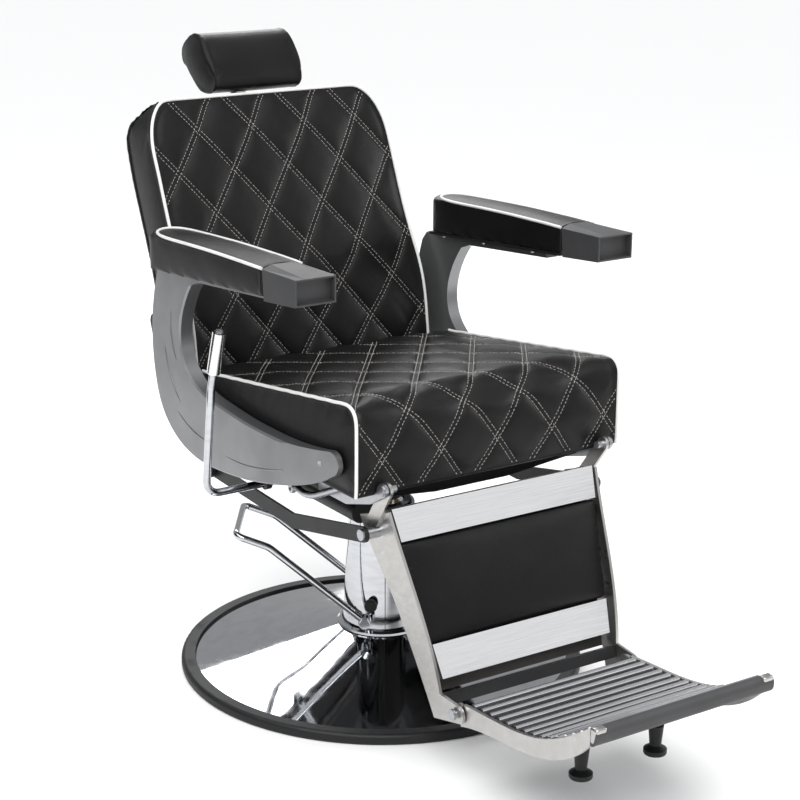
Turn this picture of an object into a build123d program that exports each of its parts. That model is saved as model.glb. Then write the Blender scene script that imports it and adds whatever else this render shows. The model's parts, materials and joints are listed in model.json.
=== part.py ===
"""Hydraulic barber chair: a separate solid for every piece, joined by real pivots and slides.

Frame: origin at the centre of the base on the floor, +Z up, -Y towards the sitter's feet,
-X on the sitter's right, which is the side with the recline lever.
All sizes are in millimetres.
"""
from build123d import *
import math
import os

os.makedirs("parts", exist_ok=True)

# ---------------------------------------------------------------- driving dimensions
# clearances
running_gap = 0.05            # radial gap of a shaft that turns or slides in its hole
seat_gap = 0.3                # gap between two faces that move past each other

# base
base_radius = 350
ring_width = 24
ring_height = 18
ring_lip_width = 26
ring_lip_height = 4
base_plate_thick = 8
base_boss_radius = 66
base_boss_top = 28
base_rib_reach = 230
floor_pad_radius = 60
dome_thick = 2
dome_top_radius = 72
dome_top = 70

# pump column
cover_bottom_radius = 68
cover_top_radius = 58
cover_bottom = 74
cover_top = 296
cover_thick = 2
cylinder_radius = 36
cylinder_bore = 29
cylinder_bottom = 28
cylinder_floor = 10
cylinder_top = 293
bush_length = 30

# ram and swivel
ram_radius = 24
piston_height = 15
spindle_radius = 18
swivel_height = 325
spindle_top = 383

# pump pedal, which points to one side of the chair
pedal_heading = 145.4         # degrees from +X
pedal_half_width = 78
pedal_rod_radius = 6
pedal_pivot = (27, 98)        # along the pedal, height
pedal_bend = (190, 232)
pedal_tip = (246, 252)
pedal_pin_radius = 6
plunger_offset = 24           # from the pedal pivot to the pump plunger
plunger_radius = 4.5

# seat frame
rail_inner = 190
rail_outer = 215
frame_bottom = 393
frame_top = 431
cross_tube_height = 30
cross_tube_width = 26
cross_tube_rows = (-45, 80)
tube_end_wall = 6
casting_bolt_radius = 5
casting_bolt_reach = 12
casting_bolt_head = 8
tube_wall = 3
rail_front = -235
rail_rear = 165
mount_plate_thick = 8
board_thick = 15

# seat cushion
cushion_half_width = 255.5
cushion_front = -314
cushion_front_height = 579
cushion_rear = 190
cushion_rear_height = 515

# width of the backrest, which the castings clear
back_half_width = 241.5

# arm castings and armrests
casting_gap = 6.5             # between the seat cushion's side and each casting
casting_back_gap = 20.5       # between the backrest's side and each casting
casting_inner = max(cushion_half_width + casting_gap, back_half_width + casting_back_gap)
casting_thick = 25
casting_outer = casting_inner + casting_thick
casting_tip_thick = 8
arm_plate_thick = 5
arm_slope = 4.6               # degrees, rising to the front
arm_pad_overhang = 12         # inwards past the casting
arm_pad_inner = casting_inner - arm_pad_overhang
arm_pad_width = 73
arm_pad_outer = arm_pad_inner + arm_pad_width
arm_pad_thick = 60
arm_pad_front_thick = 44
arm_pad_rear = 238
arm_cap_rear = -155
arm_cap_front = -253
arm_cap_heights = (728, 770)

# recline linkage: two equal cranks joined by a link bar
back_pivot = (142, 417)
leg_pivot = (-332, 448)
crank = (39, -81)             # from each pivot to its link pin
link_bend = (-85, 325)
link_inner = 224.5
link_outer = 229.5
link_width = 25
link_pin_radius = 6
link_pin_inner = 192

# backrest
back_corner_radius = 55
back_board_thick = 16
back_arm_inner = 232
back_arm_outer = 240
back_arm_width = 28

# headrest
post_lean = 25.5              # degrees back from upright
post_width = 30
post_thick = 6
post_top = (494.5, 953.3)
post_length = 225
socket_length = 150
socket_wall = 3
headrest_half_width = 98

# leg rest, in its own plane: down the panel and behind it
leg_top = (-321, 411)
leg_bottom = (-426, 141)
leg_plate_outer = 204.5
leg_plate_thick = 5
leg_plate_taper = 0.095       # how far each plate leans in for each unit down
panel_half_width = 196
panel_taper = 0.1156
panel_length = 290
leg_board_thick = 12
leg_pad_thick = 18
strip_thick = 1.5

# footplate
foot_pivot = (-467, 122)
foot_pin_radius = 5
foot_half_width = 167
foot_pin_outer = 178          # outside of the leg plates at the foot pivot
foot_side_thick = 6
foot_sheet_thick = 5
rib_radius = 4.5
rib_count = 15
foot_bumper_row = -645
foot_bumper_spread = 72

# recline lever and lock
lever_pivot = (-6, 368)
lever_rod_radius = 6.5
lever_clear = 22              # between the armrest's outside and the lever
lever_out = arm_pad_outer + lever_clear
lever_top = (-61.5, 653)
grip_bottom = (-38, 577.5)
grip_radius = 11
lock_offset = -125            # across the chair
lock_height = 332
lock_radius = 18
lock_rod_radius = 6
lock_front = -128
lock_rear = 66

SIDES = {"right": -1, "left": 1}


# ---------------------------------------------------------------- helpers
def save(part, name):
    """Label a finished piece and write it as a node of its own."""
    part.label = name
    export_step(part, f"parts/{name}.step")


def side_plane(x):
    """A plane across the chair at x, drawn with +Y to the right and +Z up."""
    return Plane(origin=(x, 0, 0), x_dir=(0, 1, 0), z_dir=(1, 0, 0))


def polar(length, degrees):
    return (length * math.cos(math.radians(degrees)), length * math.sin(math.radians(degrees)))


def add_points(a, b):
    return (a[0] + b[0], a[1] + b[1])


def pedal_plane(offset):
    """An upright plane along the pedal, drawn with the pedal's own direction to the right."""
    along = polar(1, pedal_heading)
    across = polar(1, pedal_heading - 90)
    return Plane(origin=(across[0] * offset, across[1] * offset, 0),
                 x_dir=(along[0], along[1], 0), z_dir=(across[0], across[1], 0))


def pedal_point(offset, along, height):
    """A point from its place across the pedal, along the pedal and above the floor."""
    return pedal_plane(offset).from_local_coords((along, height, 0))


leg_span = math.dist(leg_top, leg_bottom)
leg_down = ((leg_bottom[0] - leg_top[0]) / leg_span, (leg_bottom[1] - leg_top[1]) / leg_span)
leg_back = (-leg_down[1], leg_down[0])
post_dir = (math.sin(math.radians(post_lean)), math.cos(math.radians(post_lean)))


def leg_point(down, behind):
    """A point (y, z) from its place down the leg panel and behind its face."""
    return (leg_top[0] + leg_down[0] * down + leg_back[0] * behind,
            leg_top[1] + leg_down[1] * down + leg_back[1] * behind)


def leg_side_plane(x):
    """The plane of a leg side plate, which leans in towards the foot."""
    lean = -math.copysign(leg_plate_taper, x)
    down = Vector(lean, leg_down[0], leg_down[1]).normalized()
    behind = Vector(0, leg_back[0], leg_back[1])
    return Plane(origin=(x, leg_top[0], leg_top[1]), x_dir=down, z_dir=down.cross(behind))


def leg_face_plane(behind):
    """A plane parallel to the leg panel, drawn with +X to the right and down the panel upwards."""
    y, z = leg_point(0, behind)
    return Plane(origin=(0, y, z), x_dir=(1, 0, 0), z_dir=(0, -leg_back[0], -leg_back[1]))


def slot_between(start, end, width):
    """A round-ended bar from one centre to the other."""
    with Locations(((start[0] + end[0]) / 2, (start[1] + end[1]) / 2)):
        angle = math.degrees(math.atan2(end[1] - start[1], end[0] - start[0]))
        SlotCenterToCenter(math.dist(start, end), width, rotation=angle)


link_rear = add_points(back_pivot, crank)
link_front = add_points(leg_pivot, crank)
cylinder_mouth = cylinder_top - bush_length
plate_top = ring_lip_height + base_plate_thick
ring_inner = base_radius - ring_width

# ---------------------------------------------------------------- base
with BuildPart() as base_ring:
    with BuildSketch(Plane.XZ):
        with BuildLine():
            Polyline((ring_inner, ring_height), (ring_inner, ring_lip_height),
                     (ring_inner - ring_lip_width, ring_lip_height), (ring_inner - ring_lip_width, 0),
                     (base_radius - 5, 0))
            RadiusArc((base_radius - 5, 0), (base_radius, 5), -5)
            Line((base_radius, 5), (base_radius, ring_height - 7))
            RadiusArc((base_radius, ring_height - 7), (base_radius - 7, ring_height), -7)
            Line((base_radius - 7, ring_height), (ring_inner, ring_height))
        make_face()
    revolve(axis=Axis.Z)
save(base_ring.part, "base_ring")

with BuildPart() as base_plate:
    with BuildSketch(Plane.XY.offset(ring_lip_height)):
        Circle(ring_inner - running_gap)
    extrude(amount=base_plate_thick)
    with BuildSketch(Plane.XY):
        Circle(floor_pad_radius)
    extrude(amount=ring_lip_height)
    with BuildSketch(Plane.XY.offset(plate_top)):
        Circle(base_boss_radius)
    extrude(amount=base_boss_top - plate_top)
    with BuildSketch(Plane.XY.offset(plate_top)):
        for angle in range(30, 360, 60):
            with Locations(polar((base_boss_radius + base_rib_reach) / 2 - 3, angle)):
                Rectangle(base_rib_reach - base_boss_radius + 6, 8, rotation=angle)
    extrude(amount=4)
    with Locations(Plane.XY.offset(base_boss_top)):
        with PolarLocations(base_boss_radius - 12, 4, start_angle=10):
            Hole(5, depth=14)
save(base_plate.part, "base_plate")

with BuildPart() as base_dome:
    dome_edge = ring_inner - 1
    with BuildSketch(Plane.XZ):
        with BuildLine():
            outer_slope = ThreePointArc((dome_edge, plate_top + dome_thick),
                                        ((dome_edge + dome_top_radius) / 2, (plate_top + dome_top) / 2 - 1.5),
                                        (dome_top_radius, dome_top))
            Line((dome_top_radius, dome_top), (dome_top_radius, dome_top - dome_thick))
            ThreePointArc((dome_top_radius, dome_top - dome_thick),
                          ((dome_edge + dome_top_radius) / 2, (plate_top + dome_top) / 2 - 1.5 - dome_thick),
                          (dome_edge - 9, plate_top + 0.02))
            Polyline((dome_edge - 9, plate_top + 0.02), (dome_edge, plate_top + 0.02),
                     (dome_edge, plate_top + dome_thick))
        make_face()
    revolve(axis=Axis.Z)
save(base_dome.part, "base_dome")

with BuildPart() as base_collar:
    with BuildSketch(Plane.XZ):
        with BuildLine():
            Polyline((dome_top_radius - 3, dome_top), (dome_top_radius + 5, dome_top),
                     (dome_top_radius + 5, dome_top + 4), (dome_top_radius + 1, dome_top + 8),
                     (dome_top_radius - 3, dome_top + 8), (dome_top_radius - 3, dome_top))
        make_face()
    revolve(axis=Axis.Z)
save(base_collar.part, "base_collar")

with BuildPart() as pump_cylinder:
    with BuildSketch(Plane.XY.offset(cylinder_bottom)):
        Circle(cylinder_radius)
    extrude(amount=cylinder_top - cylinder_bottom)
    with BuildSketch(Plane.XY.offset(cylinder_bottom + cylinder_floor)):
        Circle(cylinder_bore)
    extrude(amount=cylinder_top, mode=Mode.SUBTRACT)
save(pump_cylinder.part, "pump_cylinder")

with BuildPart() as ram_bush:
    with BuildSketch(Plane.XY.offset(cylinder_mouth)):
        Circle(cylinder_bore)
        Circle(ram_radius + running_gap, mode=Mode.SUBTRACT)
    extrude(amount=bush_length)
save(ram_bush.part, "ram_bush")

lobe_outer = 50
block_span = (45, 61)
block_bottom = pedal_pivot[1] + 14
block_top = block_bottom + 22
plunger_across = -53
plunger_along = pedal_pivot[0] - plunger_offset
with BuildPart() as pump_body:
    with BuildSketch(Plane.XY.offset(cylinder_bottom)):
        Circle(base_boss_radius - 1)
        Circle(cylinder_radius, mode=Mode.SUBTRACT)
    extrude(amount=8)
    with BuildSketch(Plane.XY.offset(cylinder_bottom)):
        Circle(cylinder_radius + 8)
        Circle(cylinder_radius, mode=Mode.SUBTRACT)
    extrude(amount=block_top - cylinder_bottom)
    for side in SIDES.values():
        with BuildSketch(pedal_plane(side * (cylinder_radius + 2))):
            slot_between(pedal_pivot, (pedal_pivot[0], pedal_pivot[1] - 26), 26)
        extrude(amount=side * (lobe_outer - cylinder_radius - 2))
        with BuildSketch(pedal_plane(side * 30)):
            with Locations(pedal_pivot):
                Circle(pedal_pin_radius + running_gap)
        extrude(amount=side * 40, mode=Mode.SUBTRACT)
    with BuildSketch(pedal_plane(-block_span[0] + 6)):
        with Locations((plunger_along, (block_bottom + block_top) / 2)):
            Rectangle(16, block_top - block_bottom)
    extrude(amount=-(block_span[1] - block_span[0] + 6))
    with Locations(Location(pedal_point(plunger_across, plunger_along, block_top))):
        Hole(plunger_radius + running_gap, depth=40)
    with Locations(Plane.XY.offset(cylinder_bottom + 8)):
        with PolarLocations(base_boss_radius - 12, 4, start_angle=10):
            Hole(5, depth=9)
    with BuildSketch(Plane.XY.offset(cylinder_bottom)):
        Circle(cylinder_radius)
    extrude(amount=block_top, mode=Mode.SUBTRACT)
save(pump_body.part, "pump_body")

with BuildPart() as base_bolts:
    with PolarLocations(base_boss_radius - 12, 4, start_angle=10):
        with Locations((0, 0, cylinder_bottom + 8)):
            Cylinder(8, 6, align=(Align.CENTER, Align.CENTER, Align.MIN))
        with Locations((0, 0, cylinder_bottom - 12)):
            Cylinder(5, 20, align=(Align.CENTER, Align.CENTER, Align.MIN))
save(base_bolts.part, "base_bolts")

cover_profile = ((cover_bottom_radius, cover_bottom), (64, 146), (60, 220), (cover_top_radius, cover_top - 10))
with BuildPart() as column_cover:
    with BuildSketch(Plane.XZ):
        with BuildLine():
            wall = Spline(*cover_profile)
            RadiusArc(wall @ 1, (cover_top_radius - 8, cover_top), -9)
            Polyline((cover_top_radius - 8, cover_top), (cylinder_radius + 2, cover_top),
                     (cylinder_radius + 2, cover_top - cover_thick),
                     (cover_top_radius - cover_thick, cover_top - cover_thick - 9))
            Spline((cover_top_radius - cover_thick, cover_top - cover_thick - 9),
                   (60 - cover_thick, 220), (64 - cover_thick, 146),
                   (cover_bottom_radius - cover_thick, cover_bottom))
            Line((cover_bottom_radius - cover_thick, cover_bottom), wall @ 0)
        make_face()
    revolve(axis=Axis.Z)
    with BuildSketch(pedal_plane(-90)):
        with Locations(pedal_pivot):
            Circle(pedal_pin_radius + 1)
    extrude(amount=180, mode=Mode.SUBTRACT)
save(column_cover.part, "column_cover")

bumper_place = (17, 125)
with BuildPart() as pedal_bumpers:
    for side in SIDES.values():
        with BuildSketch(pedal_plane(side * 65.5)):
            with Locations(bumper_place):
                Circle(11)
        extrude(amount=side * 14)
    fillet(pedal_bumpers.edges().filter_by(GeomType.CIRCLE)
           .filter_by(lambda edge: edge.center().length > 140), 4)
save(pedal_bumpers.part, "pedal_bumpers")

# ---------------------------------------------------------------- pedal and plunger
with BuildPart() as pedal_loop:
    with BuildLine():
        path = FilletPolyline(
            pedal_point(-pedal_half_width, pedal_pivot[0] + 6, pedal_pivot[1] + 5),
            pedal_point(-pedal_half_width, *pedal_bend),
            pedal_point(-pedal_half_width, *pedal_tip),
            pedal_point(pedal_half_width, *pedal_tip),
            pedal_point(pedal_half_width, *pedal_bend),
            pedal_point(pedal_half_width, pedal_pivot[0] + 6, pedal_pivot[1] + 5),
            radius=(40, 14, 14, 40))
    with BuildSketch(Plane(origin=path @ 0, z_dir=path % 0)):
        Circle(pedal_rod_radius)
    sweep(path=path)
    for side in SIDES.values():
        with BuildSketch(pedal_plane(side * (pedal_half_width - 8))):
            with Locations(pedal_pivot):
                Circle(11)
        extrude(amount=side * 16)
        with BuildSketch(pedal_plane(side * (pedal_half_width - 9))):
            with Locations(pedal_pivot):
                Circle(pedal_pin_radius)
        extrude(amount=side * 20, mode=Mode.SUBTRACT)
save(pedal_loop.part, "pedal_loop")

cam_span = (50.5, 55.5)
with BuildPart() as pedal_pins:
    for side in SIDES.values():
        with BuildSketch(pedal_plane(side * (cylinder_radius + 3))):
            with Locations(pedal_pivot):
                Circle(pedal_pin_radius)
        extrude(amount=side * (pedal_half_width + 8 - cylinder_radius - 3))
        with BuildSketch(pedal_plane(side * (pedal_half_width + 8))):
            with Locations(pedal_pivot):
                RegularPolygon(9, 6)
        extrude(amount=side * 5)
    with BuildSketch(pedal_plane(-cam_span[0])):
        slot_between(pedal_pivot, (plunger_along, pedal_pivot[1]), 8)
    extrude(amount=-(cam_span[1] - cam_span[0]))
save(pedal_pins.part, "pedal_pins")

with BuildPart() as pump_plunger:
    with Locations(Location(pedal_point(plunger_across, plunger_along, pedal_pivot[1] + 4 + seat_gap))):
        Cylinder(plunger_radius, 36, align=(Align.CENTER, Align.CENTER, Align.MIN))
save(pump_plunger.part, "pump_plunger")

# ---------------------------------------------------------------- ram
ram_bottom = cylinder_bottom + cylinder_floor + 7
with BuildPart() as ram:
    with Locations((0, 0, ram_bottom)):
        Cylinder(cylinder_bore - running_gap, piston_height, align=(Align.CENTER, Align.CENTER, Align.MIN))
        Cylinder(ram_radius, swivel_height - ram_bottom, align=(Align.CENTER, Align.CENTER, Align.MIN))
        Cylinder(spindle_radius, spindle_top - ram_bottom, align=(Align.CENTER, Align.CENTER, Align.MIN))
save(ram.part, "ram")

with BuildPart() as ram_head:
    with BuildSketch(Plane.XZ):
        with BuildLine():
            Polyline((ram_radius, cover_top + 5), (32, cover_top + 5), (48, swivel_height - 10),
                     (48, swivel_height), (ram_radius, swivel_height), (ram_radius, cover_top + 5))
        make_face()
    revolve(axis=Axis.Z)
save(ram_head.part, "ram_head")

# ---------------------------------------------------------------- seat frame
plate_bottom = frame_bottom - mount_plate_thick
with BuildPart() as swivel_hub:
    with BuildSketch(Plane.XZ):
        with BuildLine():
            Polyline((spindle_radius + running_gap, swivel_height + seat_gap), (46, swivel_height + seat_gap),
                     (46, swivel_height + 14), (40, swivel_height + 22), (40, plate_bottom - 8),
                     (68, plate_bottom - 8), (68, plate_bottom),
                     (spindle_radius + running_gap, plate_bottom),
                     (spindle_radius + running_gap, swivel_height + seat_gap))
        make_face()
    revolve(axis=Axis.Z)
save(swivel_hub.part, "swivel_hub")

with BuildPart() as mount_plate:
    plate_front = cross_tube_rows[0] - 35
    plate_rear = cross_tube_rows[1] + 30
    with BuildSketch(Plane.XY.offset(plate_bottom)):
        with Locations((0, (plate_front + plate_rear) / 2)):
            RectangleRounded(190, plate_rear - plate_front, 20)
    extrude(amount=mount_plate_thick)
save(mount_plate.part, "mount_plate")

tube_middle = frame_bottom + cross_tube_height / 2
with BuildPart() as seat_frame:
    for side in SIDES.values():
        with BuildSketch(side_plane(side * rail_inner)):
            with BuildLine():
                Polyline((rail_front, frame_top), (rail_rear - 26, frame_top), (rail_rear, frame_top - 10),
                         (rail_rear, frame_bottom + 6), (rail_rear - 6, frame_bottom),
                         (rail_front + 24, frame_bottom), (rail_front, frame_bottom + 18),
                         (rail_front, frame_top))
            make_face()
        extrude(amount=side * (rail_outer - rail_inner))
    for row in cross_tube_rows:
        with Locations((0, row, tube_middle)):
            Box(2 * casting_inner, cross_tube_width, cross_tube_height)
    for row in cross_tube_rows:
        with Locations((0, row, tube_middle)):
            Box(2 * (casting_inner - tube_end_wall), cross_tube_width - 2 * tube_wall,
                cross_tube_height - 2 * tube_wall, mode=Mode.SUBTRACT)
    for side in SIDES.values():
        with BuildSketch(side_plane(side * rail_inner)):
            with Locations(back_pivot):
                Circle(link_pin_radius)
            with Locations(*((row, tube_middle) for row in cross_tube_rows)):
                Circle(casting_bolt_radius)
        extrude(amount=side * (casting_inner - rail_inner), mode=Mode.SUBTRACT)
save(seat_frame.part, "seat_frame")

with BuildPart() as seat_board:
    with BuildSketch(Plane.XY.offset(frame_top)):
        with Locations((0, -70)):
            RectangleRounded(2 * rail_outer - 6, 450, 18)
    extrude(amount=board_thick)
save(seat_board.part, "seat_board")

cushion_bottom = frame_top + board_thick
with BuildPart() as seat_cushion:
    with BuildSketch(side_plane(-cushion_half_width)):
        with BuildLine():
            Polyline((cushion_rear - 24, cushion_bottom), (cushion_front + 7, cushion_bottom),
                     (cushion_front, cushion_bottom + 7), (cushion_front, cushion_front_height - 18))
            RadiusArc((cushion_front, cushion_front_height - 18), (cushion_front + 20, cushion_front_height), 20)
            Polyline((cushion_front + 20, cushion_front_height), (cushion_rear - 12, cushion_rear_height + 4),
                     (cushion_rear, cushion_rear_height - 8), (cushion_rear - 24, cushion_bottom))
        make_face()
    extrude(amount=2 * cushion_half_width)
save(seat_cushion.part, "seat_cushion")

with BuildPart() as front_brace:
    with BuildSketch(Plane.XZ.offset(-(rail_front - 24))):
        with BuildLine():
            Polyline((-rail_outer, frame_top), (rail_outer, frame_top), (rail_outer, frame_top - 20),
                     (70, frame_top - 34), (-70, frame_top - 34), (-rail_outer, frame_top - 20),
                     (-rail_outer, frame_top))
        make_face()
    extrude(amount=-6)
save(front_brace.part, "front_brace")

# ---------------------------------------------------------------- arm castings and armrests
arm_tan = math.tan(math.radians(arm_slope))
plate_rear_edge = (arm_pad_rear, 693)


def arm_height(y, above=0):
    """Height of the armrest's underside at y, plus a distance above it."""
    return plate_rear_edge[1] + (plate_rear_edge[0] - y) * arm_tan + above


casting_tip_points = ((-276, 464), (-289, 484), (-268, 502))
casting_bottom_points = (casting_tip_points[0], (-236, 443), (-174, 422), (-30, 390), (60, 380), (140, 380),
                         (218, 406), (259, 444), (280, 497), (287, 546), (283, 611), (266, 672))
casting_top_points = (casting_tip_points[2], (-210, 493), (-147, 488), (-88, 487), (-28, 488), (50, 494),
                      (100, 500), (151, 520), (178, 550), (185, 585), (172, 634), (143, 678))
casting_upper_front = -100
casting_taper_start = -150
casting_taper_end = -300
casting_taper_bottom = 400
casting_taper_height = 150
with BuildPart() as arm_casting:
    with BuildSketch(side_plane(casting_inner)):
        with BuildLine():
            under = Spline(*casting_bottom_points)
            over = Spline(*casting_top_points)
            ThreePointArc(*casting_tip_points)
            Polyline(under @ 1, (252, arm_height(240) - arm_plate_thick),
                     (240, arm_height(240) - arm_plate_thick),
                     (casting_upper_front, arm_height(casting_upper_front) - arm_plate_thick),
                     (casting_upper_front - 4, arm_height(casting_upper_front) - arm_plate_thick - 9),
                     (118, arm_height(118) - arm_plate_thick - 11), over @ 1)
        make_face()
    extrude(amount=casting_outer - casting_inner)
    casting_rim = arm_casting.faces().sort_by(Axis.X)[-1].outer_wire()
    chamfer(casting_rim.edges().filter_by(lambda edge: edge.length > 100), 3)
    with BuildSketch(Plane.XY.offset(casting_taper_bottom)):
        with BuildLine():
            Polyline((casting_outer + 1, casting_taper_start), (casting_outer + 1, casting_taper_end),
                     (casting_inner + casting_tip_thick, casting_taper_end), (casting_outer, casting_taper_start + 8),
                     (casting_outer + 1, casting_taper_start))
        make_face()
    extrude(amount=casting_taper_height, mode=Mode.SUBTRACT)
    with BuildSketch(side_plane(casting_inner - 1)):
        with Locations(*((row, tube_middle) for row in cross_tube_rows)):
            Circle(5)
    extrude(amount=15, mode=Mode.SUBTRACT)
save(arm_casting.part, "arm_casting_left")
arm_casting_right = mirror(arm_casting.part, about=Plane.YZ)
save(arm_casting_right, "arm_casting_right")

with BuildPart() as casting_bolts:
    for side in SIDES.values():
        with BuildSketch(side_plane(side * (casting_inner - tube_end_wall))):
            with Locations(*((row, tube_middle) for row in cross_tube_rows)):
                Circle(casting_bolt_radius)
        extrude(amount=side * (tube_end_wall + casting_bolt_reach))
        with BuildSketch(side_plane(side * (casting_inner - tube_end_wall))):
            with Locations(*((row, tube_middle) for row in cross_tube_rows)):
                RegularPolygon(casting_bolt_head, 6)
        extrude(amount=-side * tube_end_wall)
save(casting_bolts.part, "casting_bolts")

plate_middle = (casting_inner + casting_outer) / 2
screw_rows = (-70, 70, 190)
with BuildPart() as arm_plates:
    for side in SIDES.values():
        with BuildSketch(side_plane(side * (plate_middle - 22))):
            with BuildLine():
                Polyline((232, arm_height(232)), (-150, arm_height(-150)),
                         (-150, arm_height(-150) - arm_plate_thick),
                         (232, arm_height(232) - arm_plate_thick), (232, arm_height(232)))
            make_face()
        extrude(amount=side * 44)
        for row in screw_rows:
            with Locations(Location((side * plate_middle, row, arm_height(row)), (-arm_slope, 0, 0))):
                Hole(2.5, depth=20)
save(arm_plates.part, "arm_plates")

with BuildPart() as arm_plate_screws:
    for side in SIDES.values():
        for row in screw_rows:
            spot = Location((side * (plate_middle - 17), row, arm_height(row) - arm_plate_thick),
                            (-arm_slope, 0, 0))
            with Locations(spot):
                Cylinder(4, 3, align=(Align.CENTER, Align.CENTER, Align.MAX))
save(arm_plate_screws.part, "arm_plate_screws")


arm_crown_row = 0
arm_crown_thick = 54


def arm_pad(side):
    """One armrest cushion: a block with a round rear end and a slightly crowned top."""
    with BuildPart() as pad:
        with BuildSketch(side_plane(side * arm_pad_inner)):
            with BuildLine():
                Polyline((arm_pad_rear, arm_height(arm_pad_rear)), (arm_cap_rear, arm_height(arm_cap_rear)),
                         (arm_cap_rear, arm_height(arm_cap_rear, arm_pad_front_thick)))
                ThreePointArc((arm_cap_rear, arm_height(arm_cap_rear, arm_pad_front_thick)),
                              (arm_crown_row, arm_height(arm_crown_row, arm_crown_thick)),
                              (arm_pad_rear, arm_height(arm_pad_rear, arm_pad_thick)))
                Line((arm_pad_rear, arm_height(arm_pad_rear, arm_pad_thick)),
                     (arm_pad_rear, arm_height(arm_pad_rear)))
            make_face()
        extrude(amount=side * (arm_pad_outer - arm_pad_inner))
        rear_corners = pad.edges().filter_by(Axis.Z).group_by(Axis.Y)[-1]
        fillet(rear_corners, 28)
    return pad.part


for side_name, side in SIDES.items():
    save(arm_pad(side), f"arm_pad_{side_name}")

with BuildPart() as arm_caps:
    for side in SIDES.values():
        with BuildSketch(side_plane(side * (arm_pad_inner + 1))):
            with BuildLine():
                Polyline((arm_cap_rear - 0.5, arm_height(arm_cap_rear, -arm_plate_thick)),
                         (arm_cap_front, arm_cap_heights[0]), (arm_cap_front, arm_cap_heights[1]),
                         (arm_cap_rear - 0.5, arm_height(arm_cap_rear, arm_pad_front_thick + 6)),
                         (arm_cap_rear - 0.5, arm_height(arm_cap_rear, -arm_plate_thick)))
            make_face()
        extrude(amount=side * (arm_pad_outer - arm_pad_inner - 2))
save(arm_caps.part, "arm_caps")

# ---------------------------------------------------------------- recline pins and leg brackets
bracket_inner = 215
bracket_outer = 220.5
with BuildPart() as leg_brackets:
    for side in SIDES.values():
        with BuildSketch(side_plane(side * bracket_inner)):
            with BuildLine():
                Polyline((-150, frame_bottom + 4), (-232, frame_bottom + 4), (-300, 417), (-333, 437),
                         (-343, 448), (-332, 459), (-321, 448), (-312, 437), (-290, 430),
                         (-150, 426), (-150, frame_bottom + 4))
            make_face()
            with Locations(leg_pivot):
                Circle(11)
                Circle(link_pin_radius, mode=Mode.SUBTRACT)
        extrude(amount=side * (bracket_outer - bracket_inner))
save(leg_brackets.part, "leg_brackets")

with BuildPart() as pivot_pins:
    for side in SIDES.values():
        with BuildSketch(side_plane(side * (rail_inner + 2))):
            with Locations(back_pivot):
                Circle(link_pin_radius)
        extrude(amount=side * (back_arm_outer + 1 - rail_inner - 2))
        with BuildSketch(side_plane(side * (back_arm_outer + 1))):
            with Locations(back_pivot):
                Circle(10)
        extrude(amount=side * 5)
        with BuildSketch(side_plane(side * 196)):
            with Locations(leg_pivot):
                Circle(link_pin_radius)
        extrude(amount=side * (bracket_outer - 196))
        with BuildSketch(side_plane(side * bracket_outer)):
            with Locations(leg_pivot):
                Circle(9)
        extrude(amount=side * 3)
save(pivot_pins.part, "pivot_pins")

# ---------------------------------------------------------------- recline lock
with BuildPart() as recline_cylinder:
    with BuildSketch(Plane.XZ.offset(-lock_front)):
        with Locations((lock_offset, lock_height)):
            Circle(lock_radius)
    extrude(amount=-(lock_rear - lock_front))
    with BuildSketch(Plane.XZ.offset(-(lock_front + 8))):
        with Locations((lock_offset, lock_height)):
            Circle(lock_radius - 4)
    extrude(amount=-(lock_rear - lock_front - 20), mode=Mode.SUBTRACT)
    with BuildSketch(Plane.XZ.offset(-(lock_rear - 20))):
        with Locations((lock_offset, lock_height)):
            Circle(lock_rod_radius + running_gap)
    extrude(amount=-30, mode=Mode.SUBTRACT)
    for row in (lock_front + 10, lock_rear - 25):
        with Locations((lock_offset, row, lock_height + lock_radius - 2)):
            Box(14, 14, frame_bottom - lock_height - lock_radius + 2, align=(Align.CENTER, Align.CENTER, Align.MIN))
    strap_rear = cross_tube_rows[1] + cross_tube_width / 2
    with Locations((lock_offset, (lock_front + 3 + strap_rear) / 2, frame_bottom)):
        Box(30, strap_rear - lock_front - 3, 5, align=(Align.CENTER, Align.CENTER, Align.MAX))
save(recline_cylinder.part, "recline_cylinder")

rod_stroke = crank[0] - (crank[0] * math.cos(math.radians(45)) + crank[1] * math.sin(math.radians(45)))
with BuildPart() as recline_rod:
    piston_front = lock_front + 8 + rod_stroke + 10
    with BuildSketch(Plane.XZ.offset(-piston_front)):
        with Locations((lock_offset, lock_height)):
            Circle(lock_radius - 4 - running_gap)
    extrude(amount=-8)
    with BuildSketch(Plane.XZ.offset(-piston_front)):
        with Locations((lock_offset, lock_height)):
            Circle(lock_rod_radius)
    extrude(amount=-(link_rear[0] - 12 - piston_front))
    with BuildSketch(side_plane(lock_offset - 5)):
        with Locations((link_rear[0], lock_height)):
            RectangleRounded(32, 40, 8)
            SlotCenterToCenter(14, 2 * link_pin_radius + 3, rotation=90, mode=Mode.SUBTRACT)
    extrude(amount=10)
save(recline_rod.part, "recline_rod")

# ---------------------------------------------------------------- lever
bush_place = (232, 150)
with BuildPart() as lever_bushes:
    for across in bush_place:
        with BuildSketch(side_plane(-across - 5)):
            with Locations(lever_pivot):
                Circle(11)
            with Locations((lever_pivot[0], (lever_pivot[1] + frame_bottom) / 2)):
                Rectangle(16, frame_bottom - lever_pivot[1])
            with Locations(lever_pivot):
                Circle(lever_rod_radius + running_gap, mode=Mode.SUBTRACT)
        extrude(amount=10)
    with Locations((-(bush_place[0] + bush_place[1]) / 2, lever_pivot[0] - 12, frame_bottom)):
        Box(bush_place[0] - bush_place[1] + 10, 46, 4, align=(Align.CENTER, Align.CENTER, Align.MAX))
save(lever_bushes.part, "lever_bushes")

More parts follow.
